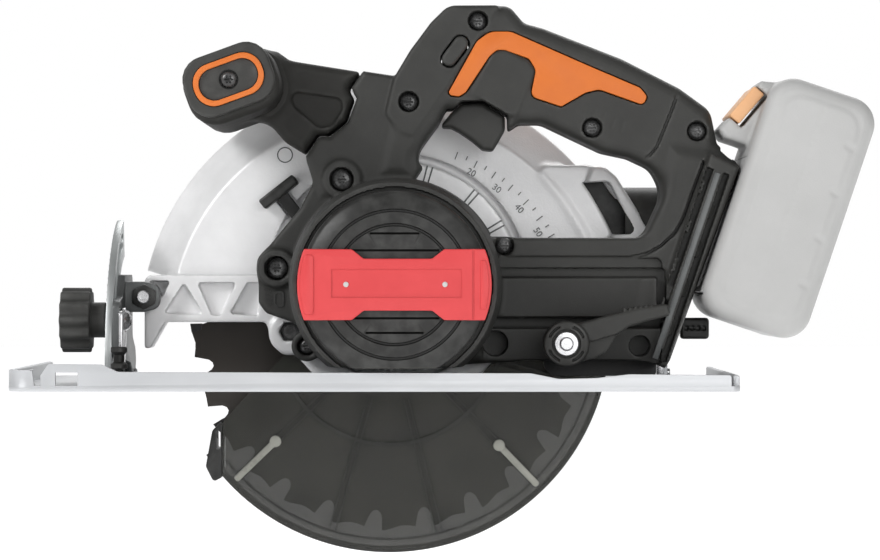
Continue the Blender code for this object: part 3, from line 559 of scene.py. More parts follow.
FINISHES = {
    "black": finish("black_plastic", (0.023, 0.023, 0.0212), (0.034, 0.034, 0.0316), 0.55, grain=1500,
                    relief=0.3, edge_tone=(0.065, 0.065, 0.062), specular=0.35),
    "black_smooth": finish("black_plastic", (0.008, 0.008, 0.0075), (0.014, 0.014, 0.013), 0.38, grain=900,
                           relief=0.1, edge_tone=(0.05, 0.05, 0.048), specular=0.32),
    "grip": finish("grip_rubber", (0.016, 0.0155, 0.014), (0.024, 0.0235, 0.0215), 0.66, grain=1900,
                   relief=0.4, edge_tone=(0.07, 0.07, 0.066), specular=0.25),
    "orange": finish("orange_plastic", (0.56, 0.125, 0.008), (0.62, 0.148, 0.012), 0.5, grain=1600,
                     relief=0.15),
    "red": finish("red_plastic", (0.56, 0.035, 0.039), (0.61, 0.046, 0.05), 0.45, grain=1300,
                  relief=0.14),
    # near-white edges on the casting: painted highlights along its edges
    "cast": finish("cast_alloy", (0.74, 0.74, 0.745), (0.86, 0.86, 0.865), 0.44, metallic=0.2, grain=900,
                   relief=0.5, mottle=30, edge_tone=(0.98, 0.98, 0.98)),
    "base": finish("base_alloy", (0.48, 0.49, 0.505), (0.55, 0.56, 0.575), 0.42, metallic=0.5, grain=500,
                   relief=0.12, mottle=14, stretch=(0.03, 1, 1)),
    "steel": finish("bright_steel", (0.55, 0.55, 0.56), (0.72, 0.72, 0.73), 0.28, metallic=1.0, grain=1300,
                    relief=0.15),
    "dark_steel": finish("dark_steel", (0.018, 0.018, 0.019), (0.035, 0.034, 0.034), 0.34, metallic=0.5,
                         grain=1100, relief=0.2),
    "screw": finish("dark_steel", (0.007, 0.007, 0.007), (0.014, 0.014, 0.014), 0.26, metallic=0.3, grain=900,
                    relief=0.12, mottle=200, edge_tone=(0.2, 0.2, 0.2)),
    "smoke": finish("smoked_plastic", (0.028, 0.028, 0.024), (0.045, 0.045, 0.038), 0.2, grain=260,
                    relief=0.05, alpha=0.56, specular=0.35),
    "rim": finish("smoked_plastic", (0.02, 0.02, 0.018), (0.034, 0.034, 0.03), 0.25, grain=600, relief=0.05,
                  alpha=0.8, specular=0.35),
    "peg": finish("smoked_plastic", (0.22, 0.22, 0.19), (0.32, 0.32, 0.28), 0.3, grain=700, relief=0.1,
                  alpha=0.85),
    "coated": finish("coated_steel", (0.022, 0.018, 0.0145), (0.030, 0.0245, 0.020), 0.42, metallic=0.3,
                     grain=2600, relief=0.3, mottle=12, rings=ARBOR),
    "copper": finish("winding", (0.45, 0.16, 0.06), (0.66, 0.28, 0.12), 0.4, metallic=0.9, grain=1200),
    "board": finish("circuit_board", (0.01, 0.11, 0.04), (0.02, 0.17, 0.06), 0.45, grain=900),
    "pale": finish("battery_grey", (0.40, 0.40, 0.395), (0.44, 0.44, 0.435), 0.55, grain=1500, relief=0.25,
                   mottle=30),
    # pale grey for the cover band's two pins: painted highlights on the nubs
    "pale_pin_highlight": finish("battery_grey", (0.47, 0.47, 0.46), (0.54, 0.54, 0.53), 0.5, grain=1300, relief=0.2),
    "pale_orange": finish("battery_accent", (0.72, 0.38, 0.18), (0.76, 0.44, 0.23), 0.5, grain=1500,
                          relief=0.2),
    "cell": finish("cell_wrap", (0.03, 0.12, 0.32), (0.05, 0.18, 0.42), 0.35, grain=900),
    "bracket": finish("dark_steel", (0.085, 0.09, 0.09), (0.13, 0.135, 0.135), 0.42, metallic=0.6, grain=900,
                      relief=0.2),
    "quadrant": finish("base_alloy", (0.40, 0.42, 0.42), (0.52, 0.54, 0.54), 0.4, metallic=0.85, grain=600,
                       relief=0.2, mottle=40, stretch=(1, 1, 0.1)),
}


def show(obj, body, look, *nodes):
    """Hang a piece on its CAD body, in place of the CAD nodes named."""
    made, slot = FINISHES[look]
    obj.data.materials.clear()
    obj.data.materials.append(made)
    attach(obj, body)
    if nodes:
        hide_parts(*nodes)
    return obj


# ---------------------------------------------------------------- moulded housing

HANDLE = rounded([
    (27, 168.9, 6), (54, 169, 6), (60.5, 161.3, 6), (69, 159, 10), (103.7, 145.5, 40), (129.2, 132.5, 16),
    (143, 122.5, 9), (146, 108), (154.3, 99.5, 2), rail(30, -1), rail(-20, -2), (113, 52), (113.5, 66.9, 8),
    (122.5, 85.5, 12), (116.5, 96.5, 9), (106.5, 101.2, 8), (94.8, 103.7, 14), (68, 116.4, 8),
    (58.6, 116.3, 3), (53, 112.5, 2), (51.5, 118.5, 2), (26.5, 123, 3), (23.3, 116.4, 3), (12.1, 101.2, 6),
    (13, 92), (-6, 92), (3, 130)])
FRONT_BLOCK = rounded([
    (2.6, 136.5, 3), (10.1, 149.0, 8), (19.3, 161.4, 10), (27, 168.9, 8), (50.5, 169, 1.5), (44.9, 159.3, 4),
    (26.4, 131.8, 12), (11.4, 110.2, 2), (5.0, 112.4, 4), (-1.1, 120.8, 4)])
NECK = [(-36.1, 102.3), (-30.3, 111), (-25.4, 111), (-17.4, 117.3), (-13.6, 128), (-16, 132.5),
        (-10.7, 140.1), (3.2, 138), (16, 112), (14, 90), (-30, 84)]
COLLAR = rounded([
    (-57, 37.5, 3), (-57, 57, 3), (-48, 68, 8), (-38.5, 79.5, 4), (-32.6, 91, 6), (-36.1, 102.3, 2),
    (12, 102, 4), (40, 86, 10), (56, 66, 8), (56, 12.1), (30, 10), (-22, 10), (-35, 26.4, 6), (-53.8, 33, 3)])
ARM = rounded([
    (34, 66.9, 2), (113.5, 66.9, 6), (119, 80, 6), (138, 96), rail(49.2, -2), rail(-44, -2.5), (118, 12.1),
    (34, 12.1)])
SWITCH_PAD = rounded([
    (33, 125, 3), (46.1, 148.4, 6), (52, 149.9, 4), (63, 144.2, 5), (66.1, 139.8, 3), (62.2, 129.4, 4),
    (58.0, 119.5, 4), (51.0, 119.5, 4), (40, 127.2, 3)])
INLAY = rounded([
    (26.4, 129.2, 1.5), (39.6, 153, 8), (45.4, 157.2, 8), (54.5, 157.2, 8), (90, 141.6, 30),
    (111.6, 132.4, 4), (114.7, 128.6, 2), (112.9, 124.8, 2), (103.5, 128.1, 8), (93.5, 131.7, 6),
    (87.4, 130.2, 5),
    (76.8, 124.1, 2), (63.3, 128.6, 3), (65.6, 140.2, 4), (62.6, 145.2, 3), (51.8, 149.1, 3),
    (48.3, 149.1, 3), (45, 146.1, 3), (34.6, 130.4, 2), (31.8, 128.6, 1)])
BORES = [(40.1, 162.0, 4.4), (9.5, 126.3, 4.6), (90.5, 114.8, 4.4), (136.8, 113.3, 4.4), (51.7, 62.7, 4.3),
         (-20.1, 92.0, 5.3), (-48.8, 52.8, 5.3), (-35.6, 18.4, 4.2)]


def lock_outline(grow=0.0):
    half, radius = 4.2, 3.3 + grow
    points = arc((half, 0), radius, -90, 90, 14) + arc((-half, 0), radius, 90, 270, 14)
    return shifted(spun(points, 53), (29.9, 148.5))


def ribbon(points, half):
    """A band of constant width along a bent line."""
    line = [Vector(p) for p in points]
    near, far = [], []
    for k, p in enumerate(line):
        along = (line[min(k + 1, len(line) - 1)] - line[max(k - 1, 0)]).normalized()
        side = Vector((-along.y, along.x)) * half
        near.append(tuple(p + side))
        far.append(tuple(p - side))
    return near + far[::-1]


def make_housing():
    block = Block((-60, -61, 0), (160, 29, 172), 0.8)
    add, carve = block.add, block.carve
    add(plate(HANDLE, -17.2, 17.2, 6.5))
    add(plate(COLLAR, -14.5, 14.5, 2), 2)
    add(plate(ARM, FACE, 18, 2.5), 3)
    add(plate(NECK, -15.5, 15.5, 2.5), 1.5)
    add(plate(FRONT_BLOCK, FACE, 18, 2.2), 1.2)
    for x, z, radius in BORES[5:7]:
        add(plate(circle((x, z), radius + 3.2), FACE, 10, 1.5), 3)
    add(plate(circle(BORES[7][:2], 6.8), FACE + 2, 8, 1), 1.5)
    barrel = rounded([(0, 12), (46, 12, 1), (46, -47, 3), (43.8, -60.4, 0.7), (0, -60.4)], 3)
    add(lathe(barrel, MOTOR), 3)
    foot = rounded(on_rail([(51, -14), (49.5, 0), (-44, -2.5), (-44, -14)]))
    add(plate(foot, -26, 26, 1.6), 2.5)
    add(plate(rounded(on_rail([(48, -30), (52, -10), (49.5, -1), (-40, -3), (-40, -20)])), -20, 20, 5), 5)

    # near side: grip details
    for side in (-1, 1):
        low, high = sorted((side * 14, side * 30))
        carve(plate(INLAY, low, high, grow=0.35), 0.4)
    add(plate(SWITCH_PAD, FACE, -9, 2.4), 0.8)
    carve(plate(ribbon([(128.6, 131), (125.6, 122.6), (119, 106.3), (112.5, 99)], 0.55), -20, -15.6), 0.5)
    for k in range(6):
        start = Vector((84.5 + 4.1 * k, 126.2 - 1.3 * k - (1.8 if k > 3 else 0)))
        add(plate(strip(start, start + Vector((-1.6, -5.2)), 0.7), -17.6, -15, 0.5), 0.5)

    # rear arm: rail, step, panel, shadow gap and bridge
    carve(plate(box_corners(45, 48.9, 121, 57.2, 2.5), -30, -16.6), 0.9)
    carve(plate(box_corners(45, 48.9, 122.5, 52.8, 1.5), -30, -14.2), 0.8)
    carve(plate(rounded([(118.8, 30, 1), (123, 30), (123, 52, 5), (118.8, 52, 2)]), -30, -14.2), 0.8)
    carve(plate(box_corners(45, 26.3, 121.5, 31.2, 1), -30, -10), 0.8)
    carve(plate(box_corners(42, 11, 120.5, 26.3, 1), -30, -16.4), 0.6)
    carve(plate(circle((47.7, 19.6), 5.6), -30, -8), 0.6)
    carve(plate(circle((111.5, 18.5), 4.6), -30, -8), 0.6)
    sweep = [(45, 57.7), (108, 57.7), (114.5, 59.2), (120.5, 62.6), (126.5, 68), (130.5, 75),
             (134, 85), (139.5, 100)]
    carve(plate(ribbon(sweep, 0.6), -30, -16.9), 0.6)

    # battery rail on the foot
    for low, high in ((-13.4, -10.6), (-6.0, -3.2)):
        for side in (-1, 1):
            bounds = sorted((side * 30, side * 20.5))
            carve(plate(on_rail(box_corners(-42, low, 45, high)), *bounds), 0.5)
    for u in (-30, -12, 6, 24):
        add(plate(on_rail(box_corners(u, -6.2, u + 7, -4.8)), -24.6, -19, 0.4))
        add(plate(on_rail(box_corners(u + 9, -13.2, u + 15, -12.2)), -24.6, -19, 0.4))

    # holes through or into the block
    for x, z, radius in BORES:
        carve(plate(circle((x, z), radius), -40, -11.6), 0.7)
        carve(plate(circle((x, z), radius), 15.5, 40), 0.7)
    hand = rounded([
        (12.1, 101.2, 6), (23.3, 116.4, 3), (26.5, 123), (51.5, 118.5), (53, 112.5), (58.6, 116.3, 3),
        (68, 116.4, 8), (94.8, 103.7, 14), (106.5, 101.2, 8), (116.5, 96.5, 9), (122.5, 85.5, 12),
        (113.5, 66.9, 8), (45.3, 66.9)]) + arc(MOTOR, 47.4, 28, 80, 20)
    carve(plate(hand, -40, 40), 2.5)
    carve(plate(lock_outline(0.5), -40, 40), 0.8)
    carve(plate([(21, 110), (25, 126), (32, 131), (50, 131), (58, 121), (57, 108), (46, 99), (38, 99)],
                -9.3, 9.3), 0.5)
    carve(plate(circle(MOTOR, 53.5), 11.7, 40))
    carve(plate(box_corners(-62, 10, -38, 64), 12.7, 30))
    carve(lathe([(0, 3), (31, 3), (31, -70), (0, -70)], MOTOR))
    carve(lathe([(0, -57.7), (41.8, -57.7), (41.8, -80), (0, -80)], MOTOR))
    carve(plate(box_corners(-70, -30, 42, 10), -90, 60), 0.8)
    carve(plate(circle(DEPTH_BOLT, 4.2), -40, 40), 0.4)
    carve(plate(on_rail(box_corners(-40, -4, 60, 5)), -10, 10), 0.4)
    carve(plate(on_rail(box_corners(-40, -9.5, 60, -3.2)), -15, 15), 0.4)
    carve(plate(box_corners(108, 20, 141, 31.5), 10, 40), 0.4)
    carve(plate(rounded([(30, 128), (38, 121), (56, 121), (70, 138), (60, 150), (33, 157)]), -9, 11))
    window = [(20, 108), (22.4, 114), (27.6, 122.2), (32.7, 126.6), (42.2, 127.1), (53.4, 120.6), (53.6, 108)]
    carve(plate(rounded([(*p, 1) for p in window]), -40, -8.9), 0.5)
    carve(plate(rounded([(*p, 1) for p in window]), 8.9, 40), 0.5)
    for name, low, high in (("housing_left", -70, -0.2), ("housing_right", 0.2, 40)):
        half = block.part(low, high).skin(name + "_moulding", 0.45)
        show(half, "saw", "black", name)


make_housing()


# ---------------------------------------------------------------- screws, grip and switches

def star(centre, outer, inner, lobes):
    """A lobed outline, such as a driver recess or a fluted knob."""
    points = []
    for k in range(lobes * 8):
        share = (1 + math.cos(2 * math.pi * k / 8)) / 2
        radius = inner + (outer - inner) * share
        angle = 2 * math.pi * k / (lobes * 8)
        points.append((centre[0] + radius * math.cos(angle), centre[1] + radius * math.sin(angle)))
    return points


def screw(name, x, z, seat, radius, nodes=()):
    """A pan head with a six-lobed recess, facing -Y."""
    profile = [(0, seat + 8), (1.5, seat + 8), (1.5, seat), (radius - 0.3, seat), (radius, seat - 0.4),
               (radius, seat - 1.4), (radius - 0.6, seat - 2.3), (radius - 1.6, seat - 2.8), (0, seat - 2.9)]
    head = turned(name, profile, (x, 0, z), steps=36)
    combine(head, "DIFFERENCE", slab(name + "_recess", star((x, z), 2.0, 1.2, 6), seat - 5, seat - 1.4))
    return show(head, "saw", "screw", *nodes)


def make_screws():
    names = ("top", "neck", "grip", "foot", "rear", "collar", "front", "low")
    for (x, z, radius), name in zip(BORES, names):
        nodes = [] if name in ("top", "low") else ["housing_screw_" + name]
        screw("screw_" + name, x, z, -11.9, radius - 0.7, nodes)


def make_grip_trim():
    for side, name in ((-1, "left"), (1, "right")):
        low, high = sorted((side * 14.0, side * 18.1))
        show(slab("inlay_" + name, INLAY, low, high, edge=0.5), "saw", "orange", "grip_inlay_" + name)
    show(slab("lock_button", lock_outline(-0.1), -20.2, 20.2, edge=1.6, segments=4), "lock_off", "black",
         "lock_off_button")
    block = Block((20, -11, 101), (56, 11, 130), 0.5)
    trigger = rounded([
        (23.2, 115.4, 1), (27.9, 121.6, 3), (32.7, 125.8, 3), (41.9, 126.3, 5), (52.2, 120.1, 2),
        (52.2, 114, 3), (46.9, 104.9, 2), (42.2, 105.4, 2), (37.5, 109.5, 6), (31.9, 113.3, 4),
        (28.2, 115.2, 2)])
    block.add(plate(trigger, -8.7, 8.7, 2.2))
    show(block.skin("trigger_moulding", 0.5), "trigger", "black", "trigger")

    # a lighter grey strip on the near side of the foot: painted highlight along the rail's edge
    rail_highlight = slab("foot_rail_highlight", on_rail(box_corners(-42, -9.6, 44, -7.0)), -26.35, -25, edge=0.3)
    show(rail_highlight, "saw", "bracket")
    rays = [slab(f"ray_{k}", strip((-54.4 + 0.4 * k, 43.4 - 2.2 * k), (-51.6 + 0.3 * k, 42.6 - 1.7 * k), 0.3),
                 -15.1, -13.8) for k in range(4)]
    lamp = box_corners(-50.2, 35.8, -45.6, 42.6, 1.4)
    rays.append(slab("lamp", lamp, -15.1, -13.8, holes=[box_corners(-49.5, 36.5, -46.3, 41.9, 0.9)]))
    show(gather("lamp_symbol", rays), "saw", "black_smooth")


# ---------------------------------------------------------------- front handle

def lean(points):
    return shifted(spun(points, BAR_TILT), CAP_AT)


def make_front_handle():
    block = Block((-94, -50, 97), (-7, 38, 153), 0.7)
    arm = rounded([
        (-58, 146), (-48.8, 147.6), (-43.9, 145, 5), (-11.9, 139.9, 1), (-17.2, 132.5, 2), (-14.9, 128, 2),
        (-18.6, 118.2, 2), (-26.2, 112.2, 2), (-31, 112.2, 2), (-36.8, 103.6, 1), (-45.7, 109, 8),
        (-54.9, 120, 8), (-62, 126)])
    block.add(plate(arm, -13.2, 13.2, 4.5))
    bar = spun(box_corners(-20.5, -15, 20.5, 15, 12), BAR_TILT)
    block.add(plate(shifted(bar, (-67, 132.3)), -47.4, 34, 4.5), 9)
    slim = spun(box_corners(-18.2, -12.8, 18.2, 12.8, 11), BAR_TILT)
    block.add(plate(shifted(slim, (-67, 133)), -30, 20, 3), 4)
    pocket = rounded([(-44, 131.4, 3), (-20.3, 127.8, 3), (-20.0, 123, 4), (-24.3, 116, 4), (-30, 114.8, 4),
                      (-41, 124, 4)])
    for low, high in ((-20, -11.0), (11.0, 20)):
        block.carve(plate(pocket, low, high, 1.0), 1.6)
    block.carve(plate(lean(box_corners(-19.8, -13.8, 19.8, 13.8, 10)), -60, -47.0), 0.5)
    show(block.skin("front_handle_moulding", 0.5), "saw", "grip", "front_handle")

    cap = slab("cap", lean(box_corners(-19.4, -13.4, 19.4, 13.4, 10)), -50.8, -46.6, edge=1.4, segments=4)
    groove = slab("groove", lean(box_corners(-15.9, -9.7, 15.9, 9.7, 9)), -60, -49.6,
                  holes=[lean(box_corners(-12.8, -6.6, 12.8, 6.6, 6.4))])
    well = slab("well", lean(box_corners(-12.8, -6.6, 12.8, 6.6, 6.4)), -60, -50.1)
    hole = slab("hole", circle(CAP_AT, 4.3), -60, -48.4)
    combine(cap, "DIFFERENCE", groove, well, hole)
    show(cap, "saw", "black", "front_handle_cap")
    loop = slab("cap_ring", lean(box_corners(-15.5, -9.3, 15.5, 9.3, 8.6, 10)), -51.6, -49.4,
                holes=[lean(box_corners(-13.2, -7, 13.2, 7, 6.8, 10))], edge=0.35)
    show(loop, "saw", "orange", "front_handle_ring")
    screw("screw_cap", *CAP_AT, -47.9, 3.6)


# ---------------------------------------------------------------- motor cover

def make_motor_cover():
    profile = [(0, -58.6), (39.6, -58.6), (40.1, -59.2), (40.1, -66.4), (39.6, -68.0), (38.0, -69.4),
               (32.3, -71.0), (31.9, -70.2), (31.2, -70.2), (30.8, -71.4), (26.2, -71.8), (25.7, -70.6),
               (25.1, -70.6), (24.7, -71.3), (0, -71.3)]
    at = crosswise(MOTOR)
    cap = turned("end_cap", profile, at, steps=128)
    slats = []
    for k, drop in enumerate((21.6, 14.4, 7.2, 0, -7.2, -14.4, -20.6)):
        half = math.sqrt(24.2 ** 2 - drop ** 2) - 0.4
        z = MOTOR[1] + drop
        shape = [(-72.5, z + 0.35), (-72.5, z - 0.35), (-70.8, z - 0.35), (-69.8, z + 0.7), (-70.8, z + 0.7)]
        slats.append(slab(f"slat_{k}", shape, MOTOR[0] - half, MOTOR[0] + half, "X"))
    combine(cap, "DIFFERENCE", *slats, slab("flat", box_corners(-60, -40, 60, 10), -90, -50))
    show(cap, "saw", "black_smooth", "motor_end_cap")

    right = arc((0, 0), 41.2, -21.5, 21.5, 16)
    left = arc((0, 0), 41.2, 158.5, 201.5, 16)
    outline = right + [(21, 15), (16, 11), (-13, 11), (-18, 15)]
    outline += left + [(-18, -15), (-13, -11), (16, -11), (21, -15)]
    band = slab("cover_band", shifted(outline, MOTOR), -74.7, -72.2, edge=0.6, segments=3)
    for start, name in ((-20.5, "leg_right"), (159.5, "leg_left")):
        leg = arc((0, 0), 41.2, start, start + 41, 16) + arc((0, 0), 40.3, start + 41, start, 16)
        combine(band, "UNION", slab(name, shifted(leg, MOTOR), -73, -60.5))
    combine(band, "DIFFERENCE", slab("label_well", box_corners(-22.8, 40, 32.6, 52.3, 0.6), -80, -74.1))
    combine(band, "DIFFERENCE", slab("step_right", box_corners(36.9, 30, 37.9, 62), -80, -74.2))
    tab = shifted(arc((0, 0), 40.0, 161.5, 198.5, 12) + [(-34.2, -12.6), (-34.2, 12.6)], MOTOR)
    combine(band, "UNION", slab("tab", rounded([(*p, 1.2) for p in tab], 2), -75.4, -74, edge=0.5))
    tab = shifted(arc((0, 0), 40.0, -15, 15, 12) + [(36.4, 10.3), (36.4, -10.3)], MOTOR)
    combine(band, "UNION", slab("tab_right", tab, -75.3, -74, edge=0.4))
    show(band, "saw", "red", "motor_cover_band")
    # the two pins on the band are pale, which paints their highlights
    pins = [drum(f"pin_{k}", 1.15, -74.7, -73.5, (x, 0, 45.7), steps=24, edge=0.3)
            for k, x in enumerate((-16.5, 25.4))]
    show(gather("band_pins", pins), "saw", "pale_pin_highlight")


# ---------------------------------------------------------------- casting

def wedge(centre, reach, start, end):
    return [centre] + arc(centre, reach, start, end, 40)


def arc_slot(centre, radius, half, start, end, steps=32):
    outer = arc(centre, radius + half, start, end, steps)
    inner = arc(centre, radius - half, end, start, steps)
    tip = arc(centre, radius, end, end, 1)[0]
    tail = arc(centre, radius, start, start, 1)[0]
    tip_round = arc(tip, half, end, end + 180, 10)[1:-1]
    tail_round = arc(tail, half, start + 180, start + 360, 10)[1:-1]
    return outer + tip_round + inner + tail_round


def lock_bar(half, inner, outer):
    """A bar pointing from the spindle lock's place at the arbor."""
    way = Vector((-0.616, 0.788))
    middle = Vector(ARBOR)
    return strip(middle + way * inner, middle + way * outer, half)


def quadrant_angles():
    low = math.degrees(math.atan2(DEPTH_BOLT[1] - PIVOT[1], DEPTH_BOLT[0] - PIVOT[0]))
    return low, low + 19.6


def make_casting():
    block = Block((-119, 9, 0), (124, 72, 142), 0.85)
    add, carve = block.add, block.carve
    profile = [(20, 24), (99.5, 24), (115, 44), (115, 65), (112.5, 68), (64, 68), (64, 65.3),
               (111.0, 65.3), (111.0, 46), (103, 34.5), (20, 34.5)]
    profile = rounded([(*p, r) for p, r in zip(profile, (1, 2, 4, 1.5, 1.5, 1, 1, 2, 4, 2, 1))], 4)
    add(common(lathe(profile, ARBOR), plate(wedge(ARBOR, 130, 5, 166), 0, 90)))
    add(plate(circle(MOTOR, 55.4), 12, 34.5, 1.0), 0.8)
    add(plate(circle(ARBOR, 22), 20, 41.5, 0.8), 1)
    arm = rounded([(-110, 49.9, 3.5), (-44, 49.9), (-40, 60), (-36, 14), (-47.9, 14, 3), (-55.6, 28.6, 2),
                   (-100.5, 28.6, 1), (-107.2, 16.8, 1), (-110, 16.8, 1)])
    add(plate(arm, 13, 30, 0.9), 1.5)
    add(plate(circle((-44.6, 23.6), 9.3), 11.6, 30, 1.2), 1.5)
    chute = rounded([(87.2, 99.8, 1), (98.6, 99.3, 3), (103.8, 95, 3), (119.5, 70, 3), (112, 52, 3),
                     (98, 44), (100.6, 66), (88.6, 90)])
    add(plate(chute, 31, 62, 1.6), 1.5)

    bridge = rounded([(66, 100, 3), (92, 99.8, 2), (89.5, 92, 3), (101.8, 68, 2), (92, 60, 3), (78, 84, 6)])
    add(plate(bridge, 24.4, 37, 1.0), 3)

    trough = lathe([(55.6, 8), (60.0, 8), (59.2, 30), (55.8, 30)], MOTOR)
    carve(common(trough, plate(wedge(MOTOR, 70, 0, 178), 0, 60)), 0.8)
    carve(plate(rounded([(-108.0, 47.2, 0.8), (-98.4, 47.2, 0.8), (-102.4, 39.2, 0.8)]), 0, 27), 0.8)
    for pocket in (
        [(-92.2, 46.6, 0.8), (-101.2, 32.6, 0.8), (-83.4, 31.8, 0.8)],
        [(-86.2, 46.6, 1), (-68.6, 46.6, 1), (-75.6, 31.6, 0.8), (-79.6, 31.6, 0.8)],
        [(-63.6, 46.6, 1), (-71.4, 32.4, 0.8), (-58.6, 31.4, 0.8), (-57.2, 46.6, 1)],
    ):
        carve(plate(rounded(pocket, 3), 0, 18.2), 0.5)
    carve(plate(arc((-44.4, 24.4), 4.9, 0, 300, 5), 0, 17.5), 0.5)
    carve(plate(arc(MOTOR, 44, -66, 246, 40), 0, 24.6))
    carve(plate(box_corners(-50, -30, 60, 3.3), 0, 60))
    carve(lathe([(0, 50), (9, 50), (9, 34.4), (15.4, 34.4), (15.4, 10), (0, 10)], ARBOR))
    carve(common(lathe([(60, 37), (103, 37), (112, 47), (112, 60), (60, 60)], ARBOR),
                 plate(wedge(ARBOR, 140, -2, 60), 0, 90)), 0.5)
    carve(plate([(87, 94.5), (97.5, 94), (114, 69.5), (108, 60), (101.8, 68)], 34, 59.5), 0.5)
    mouth = rounded(arc(ARBOR, 111.2, 23.6, 37.6, 6)[::-1] + [(112.9, 68.6, 2), (100.4, 92.6, 2.5)])
    carve(plate(mouth, 20, 40), 1.0)
    carve(plate(circle((48, 73.5), 13.6), 90, 140, facing="X"))
    low, high = quadrant_angles()
    ends = arc(PIVOT, 196, low - 14, high + 3.6, 24) + arc(PIVOT, 180, high + 3.6, low - 14, 24)
    carve(plate(ends, 26.4, 31.8))
    carve(plate(lock_bar(3.6, 20, 80), 19.3, 30), 0.6)
    carve(plate(circle(PIVOT, 4.3), 0, 60), 0.4)
    show(block.skin("guard_casting", 0.5), "saw", "cast", "upper_guard")

    ribs = []
    for k, angle in enumerate((74.4, 49.5, 30.2)):
        for side in (-1.3, 1.3):
            line = ray(MOTOR, angle + side, 46.5, 55.2, 0.35)
            ribs.append(slab(f"rib_{k}_{side}", line, 11.7, 13, edge=0.1))
    show(gather("collar_ribs", ribs), "saw", "bracket")

    marks = []
    for k in range(13):
        start = 84 if k % 2 == 0 else 85.5
        marks.append(slab(f"mark_{k}", ray(ARBOR, 69 - 3.2 * k, start, 87.5, 0.22), 23.65, 24.2))
    for k, number in enumerate((20, 30, 40, 50)):
        letters = bpy.data.curves.new("number", "FONT")
        letters.body = str(number)
        letters.size = 4.2 * MM
        letters.extrude = 0.25 * MM
        letters.align_x = letters.align_y = "CENTER"
        text = new_object("number", letters)
        angle = 62.6 - 9.6 * k
        turn = math.radians(angle)
        text.location = (81.5 * MM * math.cos(turn), 23.85 * MM, (ARBOR[1] + 81.5 * math.sin(turn)) * MM)
        text.rotation_euler = (math.pi / 2, -turn + math.pi / 2, 0)
        bpy.context.view_layer.update()
        mesh = baked(text)
        mesh.transform(text.matrix_world)
        bpy.data.objects.remove(text)
        marks.append(new_object(f"number_{number}", mesh))
    at = (-47.1, 104.4)
    marks.append(slab("cast_mark", circle(at, 3.6), 23.7, 24.3, holes=[circle(at, 3.1)]))
    show(gather("guard_marks", marks), "saw", "bracket")
    # a black sheet inside the chute: painted shade in its hollow
    shade_outline = [(103.5, 60), (115, 67), (101.5, 94), (86, 96), (91, 86), (100, 72)]
    show(slab("chute_shade_sheet", shade_outline, 46, 47.5), "saw", "black_smooth")
    socket = [(0, 20), (4.2, 20), (4.2, 15), (3, 14.2), (0, 14.2)]
    show(turned("boss_screw", socket, (-44.4, 0, 24.4), steps=24), "saw", "screw")

    port = [(13.8, 140.2), (14.2, 141), (17.1, 141), (17.5, 140.5), (17.5, 133), (16.8, 132.4), (16.8, 108),
            (13.8, 108)]
    show(turned("port_tube", port, (0, 48, 73.5), "X", closed=True), "saw", "black", "dust_port")
    stem = slab("lock_stem", lock_bar(2.9, 24, 79), 19.7, 23.5, edge=0.5)
    bar = slab("lock_bar", lock_bar(9.7, 78, 83), 14, 23.5, edge=1.0, segments=3)
    combine(stem, "UNION", bar)
    show(stem, "spindle_lock", "black_smooth", "spindle_lock")


# ---------------------------------------------------------------- blade and lower guard

def make_blade():
    points, tips = [], []
    pitch = 360 / TEETH
    # one tooth: degrees from its tip and share of the blade's radius
    tooth = ((0, 1.0), (2.2, 0.993), (5.4, 0.976), (7.0, 0.978), (9.6, 0.987), (10.2, 0.955), (11.0, 0.918),
             (12.0, 0.902), (13.2, 0.900), (14.1, 0.912), (14.7, 0.935))
    for k in range(TEETH):
        first = FIRST_TOOTH + k * pitch
        for turn, share in tooth:
            angle = math.radians(first + turn)
            points.append((BLADE_R * share * math.cos(angle), ARBOR[1] + BLADE_R * share * math.sin(angle)))
        shape = []
        for turn, share in ((-0.15, 1.001), (2.4, 0.993), (1.6, 0.945), (-0.35, 0.943)):
            angle = math.radians(first + turn)
            shape.append((BLADE_R * share * math.cos(angle), ARBOR[1] + BLADE_R * share * math.sin(angle)))
        tips.append(slab(f"tip_{k}", shape, 46.7, 49.3))
    show(slab("blade_body", points, 47, 49, holes=[circle(ARBOR, 8.2)], edge=0.15, segments=1),
         "blade_set", "coated", "blade")
    show(gather("carbide_tips", tips), "blade_set", "dark_steel")
    at = crosswise(ARBOR)
    show(ring("flange_outer", 8.2, 18, 49.3, 52, at, edge=0.6), "blade_set", "steel", "outer_flange")
    show(ring("flange_inner", 8.2, 20, 42, 46.7, at, edge=0.6), "blade_set", "steel", "inner_flange")
    shank = [(0, 55.0), (9.6, 55), (10, 54.4), (10, 52.3), (3.9, 52.3), (3.9, 29), (0, 29)]
    bolt = turned("arbor_bolt", shank, at)
    head = slab("bolt_head", arc(ARBOR, 7.5, 0, 300, 5), 54, 60, edge=0.5)
    combine(bolt, "UNION", head)
    combine(bolt, "DIFFERENCE", slab("socket", arc(ARBOR, 3.2, 0, 300, 5), 56, 62))
    show(bolt, "blade_set", "dark_steel", "blade_bolt")


def swept(name, profile, centre, start, end, step=2.0):
    """A profile of (r, y) swept round a Y axis between two angles."""
    shape = bmesh.new()
    turn = math.radians(start)
    verts = [shape.verts.new((r * math.cos(turn) * MM, y * MM, r * math.sin(turn) * MM)) for r, y in profile]
    edges = [shape.edges.new((a, b)) for a, b in zip(verts, verts[1:] + verts[:1])]
    bmesh.ops.spin(shape, geom=verts + edges, axis=(0, -1, 0), cent=(0, 0, 0),
                   angle=math.radians(end - start), steps=max(2, round((end - start) / step)))
    bmesh.ops.holes_fill(shape, edges=shape.edges, sides=0)
    bmesh.ops.recalc_face_normals(shape, faces=shape.faces)
    made = new_object(name, meshed(name, shape))
    made.location = (centre[0] * MM, 0, centre[1] * MM)
    bpy.context.view_layer.update()
    return smooth(settle(made))


